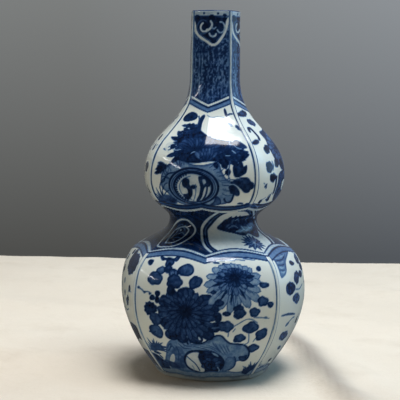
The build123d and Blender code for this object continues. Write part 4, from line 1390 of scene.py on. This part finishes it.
# Each fold: the line of its crest, its height, and its half width on the gentle and on the steep side
FOLDS = (
    (((0.045, 0.16), (0.059, 0.10), (0.070, 0.047), (0.075, -0.002), (0.081, -0.056), (0.10, -0.10), (0.14, -0.15)),
     0.007, 0.014, 0.008),
    (((0.075, 0.156), (0.092, 0.068), (0.101, -0.010), (0.119, -0.072), (0.17, -0.13)), 0.003, 0.012, 0.012),
    (((0.34, 0.05), (0.22, 0.02), (0.15, 0.035)), 0.004, 0.016, 0.012),
    (((-0.42, 0.20), (-0.25, 0.235), (-0.14, 0.20)), 0.004, 0.025, 0.02),
    (((-0.34, 0.00), (-0.20, 0.05), (-0.11, 0.02)), 0.0035, 0.02, 0.016),
    (((0.14, 0.31), (0.26, 0.22), (0.42, 0.20)), 0.0045, 0.024, 0.02),
    (((-0.16, -0.02), (-0.10, -0.07), (-0.03, -0.10)), 0.0022, 0.014, 0.012),
)
# Painted shade on the cloth: in the crease beside the big fold, and in soft patches as (place, reach, strength); the
# two at the left stand in for the vase's shadow
CREASE = ((0.042, 0.15), (0.054, 0.100), (0.069, 0.047), (0.075, -0.002), (0.082, -0.056), (0.089, -0.085))
CREASE_DARK = 0.72
SHADE_PATCHES = (
    ((-0.085, 0.06), 0.06, 0.2),
    ((-0.058, 0.045), 0.026, 0.24),
    ((0.30, 0.12), 0.2, 0.06),
    ((-0.02, -0.16), 0.1, 0.05),
    ((0.10, -0.09), 0.025, 0.12),
)


def fold_height(x, y, crest, high, gentle, steep):
    """Height of one fold over the cloth, which dies away at both ends."""
    nearest, share, half = np.full_like(x, 9.0), np.zeros_like(x), np.ones_like(x)
    steps = len(crest) - 1
    for step, ((x0, y0), (x1, y1)) in enumerate(zip(crest, crest[1:])):
        dx, dy = x1 - x0, y1 - y0
        t = np.clip(((x - x0) * dx + (y - y0) * dy) / (dx * dx + dy * dy), 0, 1)
        apart = np.hypot(x - x0 - t * dx, y - y0 - t * dy)
        closer = apart < nearest
        side = (x - x0) * dy - (y - y0) * dx
        half = np.where(closer, np.where(side < 0, gentle, steep), half)
        share = np.where(closer, (step + t) / steps, share)
        nearest = np.minimum(nearest, apart)
    return high * np.sin(np.pi * (0.06 + 0.88 * share)) ** 0.6 * np.exp(-((nearest / half) ** 2))


def shape_cloth(mesh, turned):
    """Lays the cloth flat with its folds and hangs it over the far edge of the table."""
    count = len(mesh.vertices)
    flat = np.empty(count * 3, np.float32)
    mesh.vertices.foreach_get("co", flat)
    across, along = flat.reshape(-1, 3).astype(float)[:, :2].T
    x = CLOTH_HALF * np.sign(across) * np.abs(2 * across) ** 2
    along = np.clip(along + 0.5, 0, 1)
    edge = CLOTH_EDGE + CLOTH_EDGE_TURN * x + 0.0015 * np.sin(x * 37) + 0.001 * np.sin(x * 91 + 1)
    y = CLOTH_NEAR + (edge - CLOTH_NEAR) * np.minimum(along / FLAT_SHARE, 1) ** 0.6
    clear = np.clip((np.hypot(x, y) - 0.046) * 36, 0, 1)
    z = 0.0005 * (waves(x, y, 3, 0.2) + waves(x, y, 4, 0.07)) - 0.0011
    for fold in FOLDS:
        z = z + fold_height(x, y, *fold)
    down = np.clip((along - FLAT_SHARE) / (1 - FLAT_SHARE), 0, 1)
    y = y + 0.006 * np.sin(np.minimum(down * 8, 1) * math.pi / 2)
    z = (z * clear - 0.0001) * (1 - down) - HANG * down * down
    # Painted shade for the cloth's colour: darker in the crease, towards the near edge and in the soft patches
    shade = CREASE_DARK * fold_height(x, y, CREASE, 1, 0.012, 0.005) + 0.12 * (1 - eased(y, [(-0.12, 0), (0.04, 1)]))
    for (middle_x, middle_y), reach, dark in SHADE_PATCHES:
        shade = shade + dark * np.exp(-((x - middle_x) ** 2 + (y - middle_y) ** 2) / reach ** 2)
    keep(mesh, "shade", np.clip(shade, 0, 1))
    place = np.stack([x, y, z], 1) @ np.array(turned.transposed())
    mesh.vertices.foreach_set("co", place.astype(np.float32).ravel())
    mesh.update()


def cloth_material(nodes):
    """Cream cotton, washed soft, with a faint weave and smudges, and painted shade in its crease and in soft patches.
    """
    cloud = nodes.noise(7, 4, 0.6)
    smudge = (nodes.noise(16, 4, 0.65) - 0.52).clipped() * 1.6
    colour = nodes.mix(cloud, rgba((0.60, 0.535, 0.445)), rgba((0.73, 0.665, 0.57)))
    colour = nodes.mix(smudge, colour, rgba((0.50, 0.43, 0.34)))
    weave = (nodes.noise(700, 2, 0.7) - 0.5).clipped() * 0.5
    colour = nodes.mix(weave, colour, rgba((0.40, 0.35, 0.28)))
    # Painted shade: darker where the shade attribute is laid
    colour = nodes.mix(nodes.attribute("shade"), colour, rgba((0.19, 0.165, 0.145)))
    crease = nodes.noise(26, 5, 0.62) + nodes.noise(9, 2, 0.5) * 1.5 + nodes.noise(420, 2, 0.6) * 0.09
    bump = nodes.add("ShaderNodeBump", {}, {"Strength": 0.6, "Distance": 0.004, "Height": crease}).out()
    nodes.surface(Base_Color=colour, Roughness=0.92, Normal=bump)


WALL_WIDE, WALL_TALL = 8, 5
WALL_BEHIND = 1.2
WALL_MIDDLE = 0.6
# How fast the wall's painted light grows paler across and upwards, and how pale it is at the level of the table
WALL_SHADE_ACROSS = 1.39
WALL_SHADE_UP = 2.19
WALL_SHADE_FROM = 0.247


def wall_material(nodes):
    """Grey wall that glows with painted light of its own, paler towards the top and the right."""
    place = nodes.add("ShaderNodeSeparateXYZ", {}, {0: nodes.place()})
    across = (place.out("X") * WALL_SHADE_ACROSS + 0.5).clipped()
    up = (place.out("Z") * WALL_SHADE_UP + WALL_SHADE_FROM).clipped()
    low = nodes.mix(across, rgba((0.0735, 0.0735, 0.069)), rgba((0.086, 0.096, 0.110)))
    high = nodes.mix(across, rgba((0.198, 0.205, 0.202)), rgba((0.275, 0.296, 0.319)))
    shade = nodes.mix(up, low, high)
    # The wall is not lit: it gives off this painted light itself
    nodes.surface(Base_Color=rgba((0, 0, 0)), Roughness=1.0, Emission_Color=shade, Emission_Strength=1.0)


# Settings, operators and panel

class VaseGlaze(bpy.types.PropertyGroup):
    """Colours and gloss of the glaze"""
    white: FloatVectorProperty(
        name="White", description="Colour of the glaze where nothing is painted",
        subtype="COLOR", size=3, min=0, max=1, default=(0.60, 0.66, 0.665))
    deep: FloatVectorProperty(
        name="Deepest cobalt", description="Colour where the cobalt lies thickest",
        subtype="COLOR", size=3, min=0, max=1, default=(0.0012, 0.0065, 0.028))
    ior: FloatProperty(name="Index of refraction", description="Gloss of the glaze", min=1.2, max=2.0, default=1.43)


class VaseStage(bpy.types.PropertyGroup):
    """Place and lens of the camera"""
    distance: FloatProperty(
        name="Camera distance", description="From the vase's axis to the camera", unit="LENGTH", default=0.760)
    height: FloatProperty(name="Camera height", description="Above the floor", unit="LENGTH", default=0.2024)
    round: FloatProperty(
        name="Camera angle", description="Round the vase from its front panel",
        subtype="ANGLE", default=math.radians(5.2))
    down: FloatProperty(name="Camera pitch", description="Below level", subtype="ANGLE", default=0.109)
    aside: FloatProperty(name="Camera yaw", description="To the left", subtype="ANGLE", default=0.0124)
    roll: FloatProperty(name="Camera roll", description="Tilt of the picture", subtype="ANGLE", default=0.011)
    lens: FloatProperty(
        name="Lens", description="Focal length on a 36 mm picture", unit="CAMERA", default=98.05)


class LowerGourd(bpy.types.Operator):
    """Skins of the bowl and dome of the large gourd"""
    bl_idname = "vase.lower_gourd"
    bl_label = "Lower gourd"

    def execute(self, context):
        add_skin("base_bowl", 0, BELLY[1])
        add_skin("belly_dome", BELLY[1], SHOULDER_JOINT)
        return {"FINISHED"}


class Waist(bpy.types.Operator):
    """Skin of the collar between the gourds"""
    bl_idname = "vase.waist"
    bl_label = "Waist"

    def execute(self, context):
        add_skin("waist_collar", SHOULDER_JOINT, WAIST_JOINT)
        return {"FINISHED"}


class UpperGourd(bpy.types.Operator):
    """Skins of the bowl and dome of the small gourd"""
    bl_idname = "vase.upper_gourd"
    bl_label = "Upper gourd"

    def execute(self, context):
        add_skin("upper_bowl", WAIST_JOINT, BULB[1])
        add_skin("upper_dome", BULB[1], NECK_JOINT)
        return {"FINISHED"}


class NeckTube(bpy.types.Operator):
    """Skin of the neck, with its lip"""
    bl_idname = "vase.neck"
    bl_label = "Neck"

    def execute(self, context):
        add_skin("neck_tube", NECK_JOINT, RIM[1])
        return {"FINISHED"}


class SlipRings(bpy.types.Operator):
    """Finish of the slip in the joints"""
    bl_idname = "vase.slip_rings"
    bl_label = "Slip in the joints"

    def execute(self, context):
        slip = material("fired slip", slip_material)
        for name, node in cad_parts.items():
            if name.endswith("_luting_ring"):
                node.data.materials.clear()
                node.data.materials.append(slip)
        return {"FINISHED"}


# Turn of the bright strip at the left about the way it faces
STRIP_ROLL = math.radians(48)


def area_light(name, place, wide, tall, radiance, colour, target=None, round_by=0.0, roll=0.0,
               lights=True, mirrored=True):
    """A soft light; without a target it faces straight down. It lights the table, is mirrored in the glaze, or both.

    Radiance is in watts per steradian and square metre.
    """
    light = bpy.data.lights.new(name, "AREA")
    light.shape = "RECTANGLE"
    light.size, light.size_y = wide, tall
    light.energy, light.color = radiance * math.pi * wide * tall, colour
    lamp = bpy.data.objects.new(name, light)
    bpy.context.scene.collection.objects.link(lamp)
    way = Matrix.Rotation(round_by, 3, "Z")
    lamp.location = way @ Vector(place)
    lamp.rotation_mode = "QUATERNION"
    if target:
        facing = (way @ (Vector(target) - Vector(place))).to_track_quat("-Z", "Y")
        lamp.rotation_quaternion = facing @ Quaternion((0, 0, 1), roll)
    else:
        lamp.rotation_quaternion = way.to_quaternion()
    lamp.visible_diffuse, lamp.visible_glossy = lights, mirrored


def place_camera(scene, view, turned):
    """Camera at the stage's distance and height, turned, pitched and rolled by its angles."""
    forward = Vector((
        -math.sin(view.aside) * math.cos(view.down), math.cos(view.aside) * math.cos(view.down), -math.sin(view.down),
    ))
    right = Vector((math.cos(view.aside), math.sin(view.aside), 0))
    up = right.cross(forward)
    tilted_right = right * math.cos(view.roll) + up * math.sin(view.roll)
    tilted_up = up * math.cos(view.roll) - right * math.sin(view.roll)
    axes = Matrix([turned @ tilted_right, turned @ tilted_up, turned @ -forward]).transposed()
    lens = bpy.data.cameras.new("camera")
    lens.lens, lens.sensor_width, lens.clip_end = view.lens, 36, 20
    camera = bpy.data.objects.new("camera", lens)
    scene.collection.objects.link(camera)
    camera.matrix_world = Matrix.Translation(turned @ Vector((0, -view.distance, view.height))) @ axes.to_4x4()
    scene.camera = camera
    scene.view_settings.view_transform = "Standard"


def lay_cloth(turned):
    """Table cloth with its folds."""
    deselect()
    bpy.ops.mesh.primitive_grid_add(
        x_subdivisions=CLOTH_COLUMNS, y_subdivisions=CLOTH_ROWS, size=1, location=(0, 0, 0))
    cloth = bpy.context.object
    cloth.name = "table_cloth"
    shape_cloth(cloth.data, turned)
    cloth.data.materials.append(material("table cloth", cloth_material))
    bpy.ops.object.shade_smooth()
    deselect()
    return cloth


def stand_wall(turned):
    """Wall behind the table."""
    bpy.ops.mesh.primitive_plane_add(size=1, location=(0, 0, 0))
    wall = bpy.context.object
    wall.name = "wall"
    for point in wall.data.vertices:
        point.co = turned @ Vector((point.co.x * WALL_WIDE, WALL_BEHIND, WALL_MIDDLE + point.co.y * WALL_TALL))
    wall.data.materials.append(material("grey wall", wall_material))
    return wall


def light_room(scene, round_by):
    """Dim light from all sides, and the windows and lamps round the table."""
    room = bpy.data.worlds.new("room")
    scene.world = room
    room.use_nodes = True
    air = room.node_tree.nodes["Background"].inputs
    air["Color"].default_value = (0.90, 0.95, 1.0, 1)
    air["Strength"].default_value = 0.07
    body, foot = (0, 0, 0.12), (0, 0, 0.075)
    area_light("window above", (0.21, -0.29, 1.37), 0.42, 0.30, 16, (0.97, 0.985, 1.0), None, round_by)
    area_light("ceiling", (0.15, 0.0, 1.5), 0.9, 0.6, 13.4, (0.98, 0.99, 1.0), None, round_by, mirrored=False)
    area_light("window right", (1.1, 0.10, 0.85), 0.9, 0.9, 2.0, (0.38, 0.72, 1.0), body, round_by)
    area_light("pane right", (1.25, 0.60, 0.50), 0.5, 0.9, 0.9, (0.25, 0.62, 1.0), body, round_by, lights=False)
    area_light("room left", (-1.15, -0.05, 0.6), 0.7, 0.7, 1.3, (1.0, 0.85, 0.62), body, round_by, mirrored=False)
    area_light("room behind", (0.1, 1.0, 1.25), 0.9, 0.5, 4, (0.62, 0.82, 1.0), (0, 0.1, 0), round_by, lights=False)
    strip = (-1.694, -0.684, 0.813)
    area_light("strip left", strip, 0.02, 0.89, 34, (1.0, 1.0, 1.0), foot, round_by, STRIP_ROLL, lights=False)


class Stage(bpy.types.Operator):
    """Camera, cloth, wall and lights"""
    bl_idname = "vase.stage"
    bl_label = "Stage"

    def execute(self, context):
        view = context.scene.vase_stage
        turned = Matrix.Rotation(view.round, 3, "Z")
        place_camera(context.scene, view, turned)
        cloth = lay_cloth(turned)
        wall = stand_wall(turned)
        light_room(context.scene, view.round)
        cloth.visible_glossy = False
        return {"FINISHED"}


class VASE_PT_build(bpy.types.Panel):
    """Steps of the vase, in order"""
    bl_label = "Double gourd vase"
    bl_space_type = "VIEW_3D"
    bl_region_type = "UI"
    bl_category = "Vase"

    def draw(self, context):
        for name in VaseGlaze.__annotations__:
            self.layout.prop(context.scene.vase_glaze, name)
        for name in VaseStage.__annotations__:
            self.layout.prop(context.scene.vase_stage, name)
        for step in STEPS:
            self.layout.operator(step.bl_idname)


STEPS = (Stage, LowerGourd, Waist, UpperGourd, NeckTube, SlipRings)
CLASSES = (VaseGlaze, VaseStage, *STEPS, VASE_PT_build)


def register():
    for each in CLASSES:
        bpy.utils.register_class(each)
    bpy.types.Scene.vase_glaze = PointerProperty(type=VaseGlaze)
    bpy.types.Scene.vase_stage = PointerProperty(type=VaseStage)


def unregister():
    del bpy.types.Scene.vase_stage
    del bpy.types.Scene.vase_glaze
    for each in reversed(CLASSES):
        bpy.utils.unregister_class(each)


def main():
    register()
    bpy.ops.vase.stage()
    bpy.ops.vase.lower_gourd()
    bpy.ops.vase.waist()
    bpy.ops.vase.upper_gourd()
    bpy.ops.vase.neck()
    bpy.ops.vase.slip_rings()


if __name__ == "__main__":
    main()
